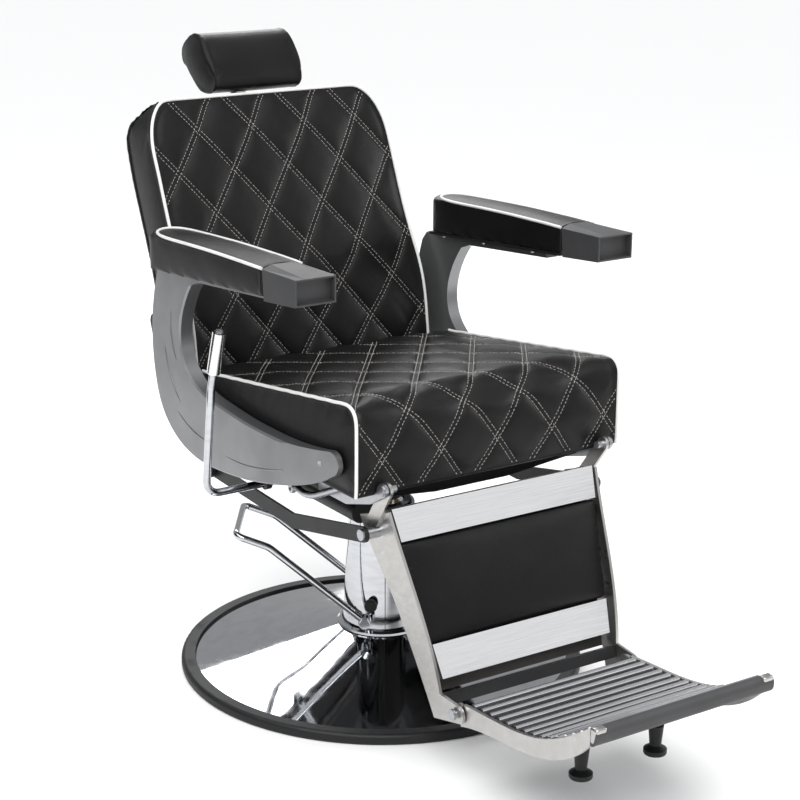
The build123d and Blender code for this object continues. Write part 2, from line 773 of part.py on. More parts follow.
lever_corner = (-lever_out, lever_pivot[0], lever_pivot[1])
grip_span = math.dist(grip_bottom, lever_top)
grip_dir = ((lever_top[0] - grip_bottom[0]) / grip_span, (lever_top[1] - grip_bottom[1]) / grip_span)
lever_bend = (grip_bottom[0] - grip_dir[0] * 25, grip_bottom[1] - grip_dir[1] * 25)
with BuildPart() as lever_rod:
    with BuildLine():
        lever_path = FilletPolyline(
            (lock_offset + 16, lever_pivot[0], lever_pivot[1]), lever_corner, (-lever_out, *lever_bend),
            (-lever_out, lever_top[0] - grip_dir[0] * 20, lever_top[1] - grip_dir[1] * 20),
            radius=(26, 60))
    with BuildSketch(Plane(origin=lever_path @ 0, z_dir=lever_path % 0)):
        Circle(lever_rod_radius)
    sweep(path=lever_path)
    with BuildSketch(side_plane(lock_offset - 4)):
        slot_between(lever_pivot, (lever_pivot[0], lever_pivot[1] - 4), 15)
    extrude(amount=8)
save(lever_rod.part, "lever_rod")

with BuildPart() as lever_grip:
    with BuildSketch(Plane(origin=(-lever_out, grip_bottom[0] + grip_dir[0] * 3, grip_bottom[1] + grip_dir[1] * 3),
                           x_dir=(1, 0, 0), z_dir=(0, grip_dir[0], grip_dir[1]))):
        Circle(grip_radius)
    extrude(amount=grip_span - 3)
    fillet(lever_grip.edges().sort_by(Axis.Z)[0], 3)
    with BuildSketch(Plane(origin=(-lever_out, grip_bottom[0], grip_bottom[1]),
                           x_dir=(1, 0, 0), z_dir=(0, grip_dir[0], grip_dir[1]))):
        Circle(lever_rod_radius)
    extrude(amount=grip_span - 20, mode=Mode.SUBTRACT)
    with BuildSketch(Plane(origin=(-lever_out, lever_top[0] - grip_dir[0] * 16, lever_top[1] - grip_dir[1] * 16),
                           x_dir=(1, 0, 0), z_dir=(0, grip_dir[0], grip_dir[1]))):
        Circle(grip_radius - 2.5)
    extrude(amount=20, mode=Mode.SUBTRACT)
save(lever_grip.part, "lever_grip")

# ---------------------------------------------------------------- backrest
front_face = ((206, 470), (213, 512), (235, 620), (278, 698), (347, 849), (380, 915))
rear_low = (323, 470)
rear_face = ((364, 586), (393, 672), (419, 732), (449, 804), (468, 870))
back_top_front = (402, 946)
back_top_rear = (452, 900)
rear_normal = Vector(0, rear_face[0][1] - rear_low[1], rear_low[0] - rear_face[0][0]).normalized()


def back_outline(inset):
    """The backrest's side outline; the rear face is moved forward by the inset."""
    shift = (-inset, inset * 0.35)
    rear = [add_points(point, shift) for point in (rear_low,) + rear_face]
    top_rear = add_points(back_top_rear, shift)
    with BuildLine(mode=Mode.PRIVATE) as outline:
        front = Spline(*front_face)
        ThreePointArc(front @ 1, (391, 934), back_top_front)
        Line(back_top_front, top_rear)
        Line(top_rear, rear[-1])
        rear_line = Spline(*reversed(rear[1:]))
        Line(rear_line @ 1, rear[0])
        Line(rear[0], front @ 0)
    make_face(outline.edges())


socket_outer = (post_width + 2 * socket_wall + 1, post_thick + 2 * socket_wall + 1)
post_plane = Plane(origin=(0, post_top[0], post_top[1]), x_dir=(1, 0, 0), z_dir=(0, -post_dir[0], -post_dir[1]))
socket_start = 78


def cut_socket_space():
    """Clear the pocket that the headrest socket sits in."""
    with BuildSketch(post_plane.offset(socket_start - 40), mode=Mode.PRIVATE) as pocket:
        Rectangle(socket_outer[0] + 1, socket_outer[1] + 1)
    extrude(pocket.sketch, amount=socket_length + 42, mode=Mode.SUBTRACT)


def round_back_corners():
    """Trim the two upper corners to their radius, seen from the front."""
    for side in SIDES.values():
        with BuildSketch(Plane.XZ.offset(-700), mode=Mode.PRIVATE) as corner:
            with BuildLine():
                edge = side * back_half_width
                top = back_top_front[1] + 4
                Polyline((edge - side * back_corner_radius, top), (edge + side * 5, top),
                         (edge + side * 5, top - back_corner_radius - 30), (edge, top - back_corner_radius - 30))
                ThreePointArc((edge, top - back_corner_radius - 30),
                              (edge - side * back_corner_radius * 0.29, top - 30 * 0.29 - back_corner_radius * 0.29),
                              (edge - side * back_corner_radius, top))
            make_face()
        extrude(corner.sketch, amount=600, mode=Mode.SUBTRACT)


with BuildPart() as back_cushion:
    with BuildSketch(side_plane(-back_half_width)):
        back_outline(back_board_thick)
    extrude(amount=2 * back_half_width)
    round_back_corners()
    cut_socket_space()
save(back_cushion.part, "back_cushion")

with BuildPart() as back_board:
    with BuildSketch(side_plane(-back_half_width)):
        back_outline(0)
    extrude(amount=2 * back_half_width)
    with BuildSketch(side_plane(-back_half_width)):
        back_outline(back_board_thick)
    extrude(amount=2 * back_half_width, mode=Mode.SUBTRACT)
    round_back_corners()
    cut_socket_space()
save(back_board.part, "back_board")

arm_path = (back_pivot, (250, 412), (330, 432), (350, 500), (371, 560))
with BuildPart() as back_arms:
    for side in SIDES.values():
        with BuildSketch(side_plane(side * back_arm_inner)):
            with Locations(back_pivot):
                Circle(14)
            for start, end in zip(arm_path, arm_path[1:]):
                slot_between(start, end, back_arm_width)
            slot_between(back_pivot, link_rear, 24)
            with Locations(back_pivot):
                Circle(link_pin_radius + running_gap, mode=Mode.SUBTRACT)
            with Locations(link_rear):
                Circle(link_pin_radius, mode=Mode.SUBTRACT)
        extrude(amount=side * (back_arm_outer - back_arm_inner))
        foot_middle = ((rear_low[0] + rear_face[0][0]) / 2, (rear_low[1] + rear_face[0][1]) / 2)
        foot_plane = Plane(origin=(side * 218, *foot_middle), x_dir=(1, 0, 0), z_dir=rear_normal)
        with BuildSketch(foot_plane):
            RectangleRounded(44, 84, 6)
        extrude(amount=6)
        with Locations(foot_plane.offset(6)):
            with Locations((0, 28), (0, -28)):
                Hole(4, depth=20)
save(back_arms.part, "back_arms")

with BuildPart() as link_shaft:
    with BuildSketch(side_plane(-back_arm_outer)):
        with Locations(link_rear):
            Circle(link_pin_radius)
    extrude(amount=2 * back_arm_outer)
    for side in SIDES.values():
        with BuildSketch(side_plane(side * back_arm_outer)):
            with Locations(link_rear):
                Circle(10)
        extrude(amount=side * 4)
save(link_shaft.part, "link_shaft")

with BuildPart() as headrest_socket:
    with BuildSketch(post_plane.offset(socket_start)):
        Rectangle(socket_outer[0], socket_outer[1])
        Rectangle(post_width + 0.1, post_thick + 0.1, mode=Mode.SUBTRACT)
    extrude(amount=socket_length)
save(headrest_socket.part, "headrest_socket")

# ---------------------------------------------------------------- headrest
with BuildPart() as headrest_post:
    with BuildSketch(post_plane):
        Rectangle(24, post_thick)
    extrude(amount=20)
    with BuildSketch(post_plane.offset(16)):
        Rectangle(post_width, post_thick)
    extrude(amount=post_length - 16)
    with BuildSketch(side_plane(-12)):
        with Locations(post_top):
            Circle(9)
    extrude(amount=24)
    with BuildSketch(side_plane(-20)):
        with Locations(post_top):
            Circle(4 + running_gap)
    extrude(amount=40, mode=Mode.SUBTRACT)
save(headrest_post.part, "headrest_post")

pad_notch = (505, 982)
pad_heel = (465, 945)
with BuildPart() as headrest_pad:
    with BuildSketch(side_plane(-headrest_half_width)):
        with BuildLine():
            Spline(pad_heel, (430, 942), (405, 957), (409, 988), (430, 1016), (456, 1042), (484, 1046),
                   (514, 1031), (532, 1010), (524, 990), pad_notch)
            Line(pad_notch, pad_heel)
        make_face()
    extrude(amount=2 * headrest_half_width)
save(headrest_pad.part, "headrest_pad")

face_dir = Vector(0, pad_notch[0] - pad_heel[0], pad_notch[1] - pad_heel[1]).normalized()
face_out = Vector(0, face_dir.Z, -face_dir.Y)
face_span = math.dist(pad_heel, pad_notch)
with BuildPart() as headrest_bracket:
    with BuildSketch(Plane(origin=(0, *add_points(pad_heel, (face_out.Y * 0.05, face_out.Z * 0.05))),
                           x_dir=face_dir, z_dir=face_out)):
        with Locations((face_span / 2, 0)):
            Rectangle(face_span - 6, 70)
    extrude(amount=3)
    for side in SIDES.values():
        with BuildSketch(side_plane(side * 12.5)):
            with Locations(post_top):
                Circle(9)
            with BuildLine():
                Polyline(add_points(pad_heel, (face_dir.Y * 18 + face_out.Y, face_dir.Z * 18 + face_out.Z)),
                         add_points(pad_heel, (face_dir.Y * 42 + face_out.Y, face_dir.Z * 42 + face_out.Z)),
                         add_points(post_top, (face_dir.Y * 9, face_dir.Z * 9)),
                         add_points(post_top, (-face_dir.Y * 9, -face_dir.Z * 9)),
                         add_points(pad_heel, (face_dir.Y * 18 + face_out.Y, face_dir.Z * 18 + face_out.Z)))
            make_face()
            with Locations(post_top):
                Circle(4, mode=Mode.SUBTRACT)
        extrude(amount=side * 5)
save(headrest_bracket.part, "headrest_bracket")

with BuildPart() as headrest_pin:
    with BuildSketch(side_plane(-17.5)):
        with Locations(post_top):
            Circle(4)
    extrude(amount=35)
    for side in SIDES.values():
        with BuildSketch(side_plane(side * 17.5)):
            with Locations(post_top):
                Circle(7)
        extrude(amount=side * 4)
save(headrest_pin.part, "headrest_pin")

# ---------------------------------------------------------------- link bars
with BuildPart() as link_bars:
    for side in SIDES.values():
        with BuildSketch(side_plane(side * link_inner)):
            slot_between(link_front, link_bend, link_width)
            slot_between(link_bend, link_rear, link_width)
            with Locations(link_front, link_rear):
                Circle(link_pin_radius + running_gap, mode=Mode.SUBTRACT)
        extrude(amount=side * (link_outer - link_inner))
save(link_bars.part, "link_bars")

# ---------------------------------------------------------------- leg rest
leg_plate_front = ((4, -3), (93, -7), (207, -12), (292, -3))
leg_plate_toe = ((311, -42), (340, -38))
leg_plate_rear = ((330, 32), (189, 44), (108, 58), (43, 75), (0, 79))


def leg_plate(side):
    """One tapered side plate of the leg rest, with its pin holes."""
    with BuildPart() as plate:
        with BuildSketch(leg_side_plane(side * (leg_plate_outer - leg_plate_thick))):
            with BuildLine():
                front = Spline(*leg_plate_front)
                Line(front @ 1, leg_plate_toe[0])
                ThreePointArc(leg_plate_toe[0], (332, -48), leg_plate_toe[1])
                Line(leg_plate_toe[1], leg_plate_rear[0])
                rear = Spline(*leg_plate_rear)
                Line(rear @ 1, front @ 0)
            make_face()
        extrude(amount=side * leg_plate_thick)
        with BuildSketch(side_plane(side * 150)):
            with Locations(foot_pivot):
                Circle(foot_pin_radius)
            with Locations(link_front):
                Circle(9)
        extrude(amount=side * 80, mode=Mode.SUBTRACT)
    return plate.part


for side_name, side in SIDES.items():
    save(leg_plate(side), f"leg_plate_{side_name}")

with BuildPart() as leg_arms:
    for side in SIDES.values():
        with BuildSketch(leg_side_plane(side * (leg_plate_outer + running_gap))):
            pivot_local = ((leg_pivot[0] - leg_top[0]) * leg_down[0] + (leg_pivot[1] - leg_top[1]) * leg_down[1],
                           (leg_pivot[0] - leg_top[0]) * leg_back[0] + (leg_pivot[1] - leg_top[1]) * leg_back[1])
            slot_between(pivot_local, (24, 58), 24)
        extrude(amount=side * 5)
        with BuildSketch(side_plane(side * 180)):
            with Locations(leg_pivot):
                Circle(link_pin_radius + running_gap)
            with Locations(link_front):
                Circle(10)
        extrude(amount=side * 60, mode=Mode.SUBTRACT)
save(leg_arms.part, "leg_arms")

with BuildPart() as leg_board:
    with BuildSketch(leg_face_plane(leg_pad_thick)):
        with BuildLine():
            board_top = panel_half_width - 3
            board_low = panel_half_width - panel_taper * panel_length - 3
            Polyline((-board_top, 0), (board_top, 0), (board_low, -panel_length),
                     (-board_low, -panel_length), (-board_top, 0))
        make_face()
    extrude(amount=-leg_board_thick)
save(leg_board.part, "leg_board")

strip_rows = {"upper": (1, 53), "lower": (216, 271)}
pad_rows = ((55, 214), (273, 290))


def panel_half_at(down):
    return panel_half_width - panel_taper * down


def panel_face(rows, inset=0.0):
    """A tapered rectangle of the leg panel between two distances down it."""
    with BuildLine(mode=Mode.PRIVATE) as outline:
        Polyline((-panel_half_at(rows[0]) + inset, -rows[0]), (panel_half_at(rows[0]) - inset, -rows[0]),
                 (panel_half_at(rows[1]) - inset, -rows[1]), (-panel_half_at(rows[1]) + inset, -rows[1]),
                 (-panel_half_at(rows[0]) + inset, -rows[0]))
    make_face(outline.edges())


with BuildPart() as leg_pad:
    with BuildSketch(leg_face_plane(0)):
        panel_face(pad_rows[0])
    extrude(amount=-leg_pad_thick)
save(leg_pad.part, "leg_pad")

for strip_name, rows in strip_rows.items():
    with BuildPart() as leg_strip:
        with BuildSketch(leg_face_plane(leg_pad_thick)):
            panel_face(rows)
        extrude(amount=leg_pad_thick + strip_thick)
        with BuildSketch(leg_face_plane(leg_pad_thick)):
            panel_face((rows[0] + strip_thick, rows[1] - strip_thick), strip_thick)
        extrude(amount=leg_pad_thick, mode=Mode.SUBTRACT)
    save(leg_strip.part, f"leg_strip_{strip_name}")

leg_tube_rows = ((70, 42), (303, 8))
with BuildPart() as leg_cross_tubes:
    for down, behind in leg_tube_rows:
        half = leg_plate_outer - leg_plate_thick - leg_plate_taper * down - 1.2
        y, z = leg_point(down, behind)
        with BuildSketch(side_plane(-half)):
            with Locations((y, z)):
                Rectangle(18, 18, rotation=math.degrees(math.atan2(leg_down[1], leg_down[0])))
                Rectangle(14, 14, rotation=math.degrees(math.atan2(leg_down[1], leg_down[0])),
                          mode=Mode.SUBTRACT)
        extrude(amount=2 * half)
save(leg_cross_tubes.part, "leg_cross_tubes")

foot_pin_inner = foot_half_width - foot_side_thick - 1
with BuildPart() as leg_bolts:
    for side in SIDES.values():
        with BuildSketch(side_plane(side * link_pin_inner)):
            with Locations(link_front):
                Circle(9)
        extrude(amount=side * (link_inner - seat_gap - link_pin_inner))
        with BuildSketch(side_plane(side * link_pin_inner)):
            with Locations(link_front):
                Circle(link_pin_radius)
        extrude(amount=side * (link_outer + 1 - link_pin_inner))
        with BuildSketch(side_plane(side * (link_outer + 0.5))):
            with Locations(link_front):
                Circle(9)
        extrude(amount=side * 4)
        with BuildSketch(side_plane(side * foot_pin_inner)):
            with Locations(foot_pivot):
                Circle(foot_pin_radius)
        extrude(amount=side * (foot_pin_outer - foot_pin_inner))
        with BuildSketch(side_plane(side * foot_pin_outer)):
            with Locations(foot_pivot):
                Circle(9)
        extrude(amount=side * 4)
save(leg_bolts.part, "leg_bolts")

# ---------------------------------------------------------------- footplate
foot_top_points = ((-476, 139), (-566, 145), (-667, 162), (-714, 183), (-776, 224))
foot_under_points = ((-472, 101), (-585, 119), (-658, 129), (-713, 148), (-776, 197))
foot_eye_radius = 15
with BuildPart() as foot_sides:
    for side in SIDES.values():
        inner = foot_half_width - foot_side_thick
        with BuildSketch(side_plane(side * inner)):
            with BuildLine():
                top_edge = Spline(*foot_top_points)
                under_edge = Spline(*foot_under_points)
                Line(top_edge @ 1, under_edge @ 1)
                Line(top_edge @ 0, under_edge @ 0)
            make_face()
            with Locations(foot_pivot):
                Circle(foot_eye_radius)
                Circle(foot_pin_radius + running_gap, mode=Mode.SUBTRACT)
        extrude(amount=side * foot_side_thick)
save(foot_sides.part, "foot_sides")

sheet_drop = rib_radius + 1
foot_clear = 0.02
with BuildPart() as foot_tray:
    with BuildSketch(side_plane(-(foot_half_width - foot_side_thick) + foot_clear)):
        with BuildLine():
            tray_line = Spline(*(add_points(point, (0, -sheet_drop)) for point in foot_top_points))
            tray_under = Spline(*(add_points(point, (0, -sheet_drop - foot_sheet_thick))
                                  for point in foot_top_points))
            Line(tray_line @ 1, tray_under @ 1)
            Line(tray_line @ 0, tray_under @ 0)
        make_face()
    extrude(amount=2 * (foot_half_width - foot_side_thick - foot_clear))
save(foot_tray.part, "foot_tray")

with BuildPart() as foot_ribs:
    for index in range(rib_count):
        spot = tray_line @ ((index + 0.75) / (rib_count + 0.4))
        with BuildSketch(side_plane(-(foot_half_width - foot_side_thick - 3))):
            with Locations((spot.X, spot.Y + rib_radius - 0.8)):
                Circle(rib_radius)
        extrude(amount=2 * (foot_half_width - foot_side_thick - 3))
    with BuildSketch(side_plane(-(foot_half_width - foot_side_thick))):
        with BuildLine():
            tray_copy = Spline(*(add_points(point, (0, -sheet_drop)) for point in foot_top_points))
            Polyline(tray_copy @ 1, (-776, 150), (-476, 90), tray_copy @ 0)
        make_face()
    extrude(amount=2 * (foot_half_width - foot_side_thick), mode=Mode.SUBTRACT)
save(foot_ribs.part, "foot_ribs")

with BuildPart() as foot_nose:
    with BuildSketch(side_plane(-foot_half_width)):
        with BuildLine():
            Polyline((-776.1, 197), (-776.1, 224))
            ThreePointArc((-776.1, 224), (-787, 221), (-790, 210))
            ThreePointArc((-790, 210), (-786, 200), (-776.1, 197))
        make_face()
    extrude(amount=2 * foot_half_width)
save(foot_nose.part, "foot_nose")

with BuildPart() as foot_bumpers:
    for side in SIDES.values():
        with BuildSketch(Plane(origin=(side * foot_bumper_spread, foot_bumper_row, 0),
                               x_dir=(1, 0, 0), z_dir=(0, -1, 0))):
            with BuildLine():
                Polyline((0, 65), (17, 65), (18, 67), (18, 73), (9, 79), (12, 112), (6, 114), (6, 143.5),
                         (0, 143.5), (0, 65))
            make_face()
        revolve(axis=Axis((side * foot_bumper_spread, foot_bumper_row, 0), (0, 0, 1)))
save(foot_bumpers.part, "foot_bumpers")
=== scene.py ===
# %% [markdown]
# # A hydraulic barber chair
# The chair's real parts come from a packed engineering model: steel, castings, pivots and plain
# blocks where the cushions go. This lesson dresses that model. It adds the upholstery, trim and
# small details that engineering models leave out, and gives every surface its finish.
# Everything is in metres. The floor is z = 0, the sitter faces -Y, and the lever side is -X.

# %% Load the engineered chair
import json
import math
import bmesh
import bpy
import numpy as np
from mathutils import Matrix, Vector, kdtree
from mathutils.bvhtree import BVHTree


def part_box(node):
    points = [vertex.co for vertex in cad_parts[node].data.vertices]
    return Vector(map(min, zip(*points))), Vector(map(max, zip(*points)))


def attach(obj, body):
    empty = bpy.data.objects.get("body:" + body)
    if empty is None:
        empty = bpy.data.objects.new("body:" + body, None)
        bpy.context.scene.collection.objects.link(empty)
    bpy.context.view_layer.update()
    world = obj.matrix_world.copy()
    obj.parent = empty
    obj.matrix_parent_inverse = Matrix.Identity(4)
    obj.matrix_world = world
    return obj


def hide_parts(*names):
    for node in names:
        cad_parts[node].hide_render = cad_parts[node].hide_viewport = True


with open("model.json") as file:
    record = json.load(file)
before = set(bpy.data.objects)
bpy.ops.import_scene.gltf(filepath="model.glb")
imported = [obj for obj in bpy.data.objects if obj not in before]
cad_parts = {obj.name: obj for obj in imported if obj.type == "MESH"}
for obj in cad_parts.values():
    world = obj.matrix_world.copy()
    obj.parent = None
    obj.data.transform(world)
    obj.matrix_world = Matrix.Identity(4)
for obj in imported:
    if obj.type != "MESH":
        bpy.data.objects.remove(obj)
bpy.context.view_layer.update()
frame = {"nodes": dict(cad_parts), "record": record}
cad = frame["nodes"]

# %% [markdown]
# ## The studio
# A product like this is shown in a white room: a pale seamless floor, light from every side so
# that the chrome has something bright to mirror, and one broad soft light from above that models
# the leather. A wide sun angle gives soft edges to shadows wherever the viewer stands.

# %% Camera
camera_data = bpy.data.cameras.new("studio_camera")
camera = bpy.data.objects.new("studio_camera", camera_data)
bpy.context.collection.objects.link(camera)
camera.location = (-1.783, -2.696, 1.446)
camera.rotation_euler = [math.radians(a) for a in (73.2195, -0.45, -33.8643)]
camera_data.sensor_width = 36
camera_data.lens = 89.58
bpy.context.scene.camera = camera
print("camera stands", round(camera.location.length, 2), "m from the base")

# %% Lights, room and floor
scene = bpy.context.scene
scene.view_settings.view_transform = "Standard"
room = bpy.data.worlds.new("white_room")
scene.world = room
room.use_nodes = True
room.node_tree.nodes["Background"].inputs["Color"].default_value = (0.97, 0.985, 1.0, 1)
room.node_tree.nodes["Background"].inputs["Strength"].default_value = 0.42


def soft_light(name, place, aim, size, watts):
    """A square softbox at a place, turned to face a point."""
    data = bpy.data.lights.new(name, "AREA")
    data.size = size
    data.energy = watts
    light = bpy.data.objects.new(name, data)
    light.location = place
    light.rotation_euler = (Vector(aim) - Vector(place)).to_track_quat("-Z", "Y").to_euler()
    bpy.context.collection.objects.link(light)


seat_middle = (0, 0, 0.6)
soft_light("key_softbox", (-2.0, -2.2, 3.2), seat_middle, 2.4, 72)
soft_light("side_softbox", (3.0, -0.9, 1.5), seat_middle, 1.8, 42)
soft_light("rear_softbox", (1.2, 2.6, 2.4), seat_middle, 1.6, 45)
soft_light("low_softbox", (1.7, -3.1, 1.1), (0, -0.38, 0.3), 1.8, 5)
sun_data = bpy.data.lights.new("ceiling", "SUN")
sun_data.energy = 2.2
sun_data.angle = math.radians(75)
ceiling = bpy.data.objects.new("ceiling", sun_data)
ceiling.rotation_euler = (math.radians(12), math.radians(-14), 0)
bpy.context.collection.objects.link(ceiling)

bpy.ops.object.select_all(action="DESELECT")
bpy.ops.mesh.primitive_grid_add(x_subdivisions=8, y_subdivisions=8, size=60)
floor = bpy.context.object
floor.name = "studio_floor"

# %% [markdown]
# ## Writing finishes as arithmetic
# A finish is a small graph of shader nodes. Drawing the graph by hand in text is hard to read, so
# two helpers turn it into plain arithmetic. `Value` wraps one output socket and adds a Math node
# for each operator, and `Finish` starts a material and adds any other node by its type.

# %% Value and Finish
class Value:
    """A number or colour that varies over a surface, with the usual operators."""

    def __init__(self, finish, socket):
        self.finish = finish
        self.socket = socket

    def _math(self, operation, first, second):
        return self.finish.node("ShaderNodeMath", {"operation": operation}, {0: first, 1: second})

    def __add__(self, other):
        return self._math("ADD", self, other)

    def __radd__(self, other):
        return self._math("ADD", other, self)

    def __sub__(self, other):
        return self._math("SUBTRACT", self, other)

    def __mul__(self, other):
        return self._math("MULTIPLY", self, other)

    def __rmul__(self, other):
        return self._math("MULTIPLY", other, self)


def socket_name(word):
    """The shader's own name for a socket: coat_weight is Coat Weight."""
    return word.replace("_", " ").title().replace("Ior", "IOR")


class Finish:
    """One material: a Principled shader whose varying inputs are fed by small expressions."""

    def __init__(self, name, colour, **fixed):
        self.material = bpy.data.materials.new(name)
        self.material.use_nodes = True
        self.material.diffuse_color = (*colour, 1)
        self.tree = self.material.node_tree
        self.shader = self.tree.nodes["Principled BSDF"]
        self.shader.inputs["Base Color"].default_value = (*colour, 1)
        for socket, value in fixed.items():
            self.shader.inputs[socket_name(socket)].default_value = value

    def node(self, kind, settings, inputs, output=0):
        """Add a node: its settings first, then a value or a link for each socket."""
        made = self.tree.nodes.new(kind)
        for key, value in settings.items():
            setattr(made, key, value)
        for key, value in inputs.items():
            socket = made.inputs[key]
            if isinstance(value, Value):
                self.tree.links.new(value.socket, socket)
            elif isinstance(value, tuple) and socket.type == "RGBA":
                socket.default_value = (*value, 1)
            else:
                socket.default_value = value
        return Value(self, made.outputs[output])

    def place(self, stretch=(1, 1, 1)):
        """Object coordinates, stretched, so a pattern keeps its real size."""
        spot = self.node("ShaderNodeTexCoord", {}, {}, "Object")
        return self.node("ShaderNodeMapping", {}, {"Vector": spot, "Scale": stretch})

    def noise(self, scale, detail, stretch=(1, 1, 1), roughness=0.5):
        """Soft cloudy variation from 0 to 1; scale is in features to the metre."""
        return self.node("ShaderNodeTexNoise", {}, {"Vector": self.place(stretch), "Scale": scale,
                                                    "Detail": detail, "Roughness": roughness})

    def cells(self, scale, feature):
        """Distance inside a random cell pattern; scale is in cells to the metre."""
        return self.node("ShaderNodeTexVoronoi", {"feature": feature},
                         {"Vector": self.place(), "Scale": scale}, "Distance")

    def step(self, value, low, high):
        """Rise smoothly from 0 to 1 as value goes from low to high."""
        return self.node("ShaderNodeMapRange", {"interpolation_type": "SMOOTHSTEP"},
                         {"Value": value, "From Min": low, "From Max": high})

    def mix(self, mask, first, second):
        """A colour between two colours."""
        return self.node("ShaderNodeMix", {"data_type": "RGBA"}, {0: mask, 6: first, 7: second}, 2)

    def feed(self, **values):
        """Connect varying values to the shader's sockets."""
        for socket, value in values.items():
            self.tree.links.new(value.socket, self.shader.inputs[socket_name(socket)])

    def bump(self, height, distance, strength=1.0, under=None):
        """Surface relief: height from 0 to 1 stands for distance metres."""
        inputs = {"Height": height, "Distance": distance, "Strength": strength}
        if under is not None:
            inputs["Normal"] = under
        return self.node("ShaderNodeBump", {}, inputs)


finishes = {}
print("finish helpers ready")

# %% [markdown]
# ## Plated and polished metal
# The base, column, pedal and lever are chrome plated. Chrome is a near perfect mirror with a
# slightly cool tint. What gives it away as real is faint waviness from the polishing under the
# plate, and a haze of fine wiping marks, so both are worked in at low strength.

# %% Chrome
chrome = Finish("mirror_chrome", (0.56, 0.57, 0.59), metallic=1.0)
wiping = chrome.noise(30, 4, stretch=(1, 1, 5))
haze = chrome.step(wiping, 0.35, 0.8)
chrome.feed(base_color=chrome.mix(haze, (0.56, 0.57, 0.59), (0.48, 0.49, 0.51)),
            roughness=0.035 + 0.06 * haze,
            normal=chrome.bump(chrome.noise(22, 1), 0.0002, 0.35))
finishes["mirror_chrome"] = chrome
print("chrome wiping marks repeat about every", round(1000 / 30), "mm")

# %% [markdown]
# The leg rest's two trim strips, the ribs of the footplate and the side plates are aluminium or
# stainless sheet. Rolled and brushed sheet has fine lines all in one direction, which
# stretched noise makes well: it is squeezed across the lines and left long down them.

# %% Brushed and satin sheet
def brushed(name, colour, darker, rough, fine, along, line_depth):
    """Metal with fine lines: fine is lines to the metre, along squeezes the noise across them."""
    made = Finish(name, colour, metallic=1.0)
    lines = made.noise(fine, 5, stretch=along, roughness=0.7)
    cloud = made.noise(9, 2)
    streak = made.step(lines, 0.3, 0.72)
    made.feed(base_color=made.mix(streak, colour, darker),
              roughness=rough + 0.12 * streak + 0.06 * cloud,
              normal=made.bump(lines, line_depth, 0.35))
    finishes[name] = made


across_chair = (0.012, 1, 1)
brushed("brushed_trim", (0.82, 0.82, 0.83), (0.73, 0.73, 0.74), 0.06, 900, across_chair, 0.00002)
brushed("polished_aluminium", (0.85, 0.85, 0.87), (0.62, 0.62, 0.64), 0.12, 700, across_chair, 0.00005)
brushed("tread_shadow", (0.17, 0.17, 0.18), (0.10, 0.10, 0.105), 0.22, 700, across_chair, 0.00005)
brushed("leg_aluminium", (0.50, 0.49, 0.475), (0.46, 0.45, 0.435), 0.24, 1100, (1, 0.05, 0.05), 0.00003)
brushed("machined_steel", (0.48, 0.49, 0.51), (0.36, 0.37, 0.39), 0.24, 1300, (1, 1, 0.2), 0.00004)
brushed("bronze", (0.60, 0.43, 0.22), (0.46, 0.31, 0.15), 0.28, 1300, (1, 1, 0.2), 0.00004)
print("brushed finishes:", sorted(finishes))

# %% [markdown]
# The two big arm castings are sand cast, ground and given a satin grey coat. Up close the coat
# has a soft dimple, and its colour drifts a little where the grinding was deeper.

# %% Satin casting and dark iron
def cast(name, colour, darker, metallic, rough, dimple, depth):
    """Cast metal: soft dimples of a given spacing, and slow drift in colour and gloss."""
    made = Finish(name, colour, metallic=metallic)
    drift = made.noise(14, 3)
    dimples = made.noise(dimple, 2)
    grit = made.noise(dimple * 4, 2)
    skin = made.bump(dimples, depth, 0.5)
    made.feed(base_color=made.mix(made.step(drift, 0.3, 0.75), colour, darker),
              roughness=rough + 0.12 * drift + 0.08 * grit,
              normal=made.bump(grit, depth / 4, 0.4, under=skin))
    finishes[name] = made


cast("satin_casting", (0.27, 0.273, 0.28), (0.235, 0.238, 0.245), 0.85, 0.27, 260, 0.00012)
cast("cast_iron", (0.085, 0.085, 0.09), (0.05, 0.05, 0.052), 0.6, 0.48, 420, 0.0003)
cast("cap_grey", (0.050, 0.050, 0.052), (0.041, 0.041, 0.043), 0.1, 0.46, 700, 0.00004)
print("castings ready")

# %% [markdown]
# ## Paint, rubber and wood
# The hidden frame and the link bars are powder coated: a thick satin black with an orange-peel
# ripple. The base ring, the pedal stop and the footplate's feet are moulded rubber, duller,
# with a fine matt grain and some pale dust. The boards under the cushions are birch plywood,
# stained black so that no pale edge shows between the leather and the metal.

# %% Powder coat, rubber and plywood
coat = Finish("black_steel", (0.03, 0.03, 0.032), specular_ior_level=0.3)
peel = coat.noise(520, 2)
wear = coat.step(coat.noise(12, 3), 0.4, 0.8)
coat.feed(base_color=coat.mix(wear, (0.010, 0.010, 0.011), (0.016, 0.016, 0.017)),
          roughness=0.36 + 0.14 * coat.noise(40, 3),
          normal=coat.bump(peel, 0.00012, 0.5))
finishes["black_steel"] = coat

rubber = Finish("black_rubber", (0.035, 0.035, 0.038), specular_ior_level=0.3)
grain = rubber.noise(1500, 2)
dust = rubber.step(rubber.noise(25, 5), 0.52, 0.8)
rubber.feed(base_color=rubber.mix(dust, (0.009, 0.009, 0.010), (0.018, 0.0175, 0.017)),
            roughness=0.45 + 0.2 * dust + 0.08 * grain,
            normal=rubber.bump(grain, 0.00008, 0.5))
finishes["black_rubber"] = rubber

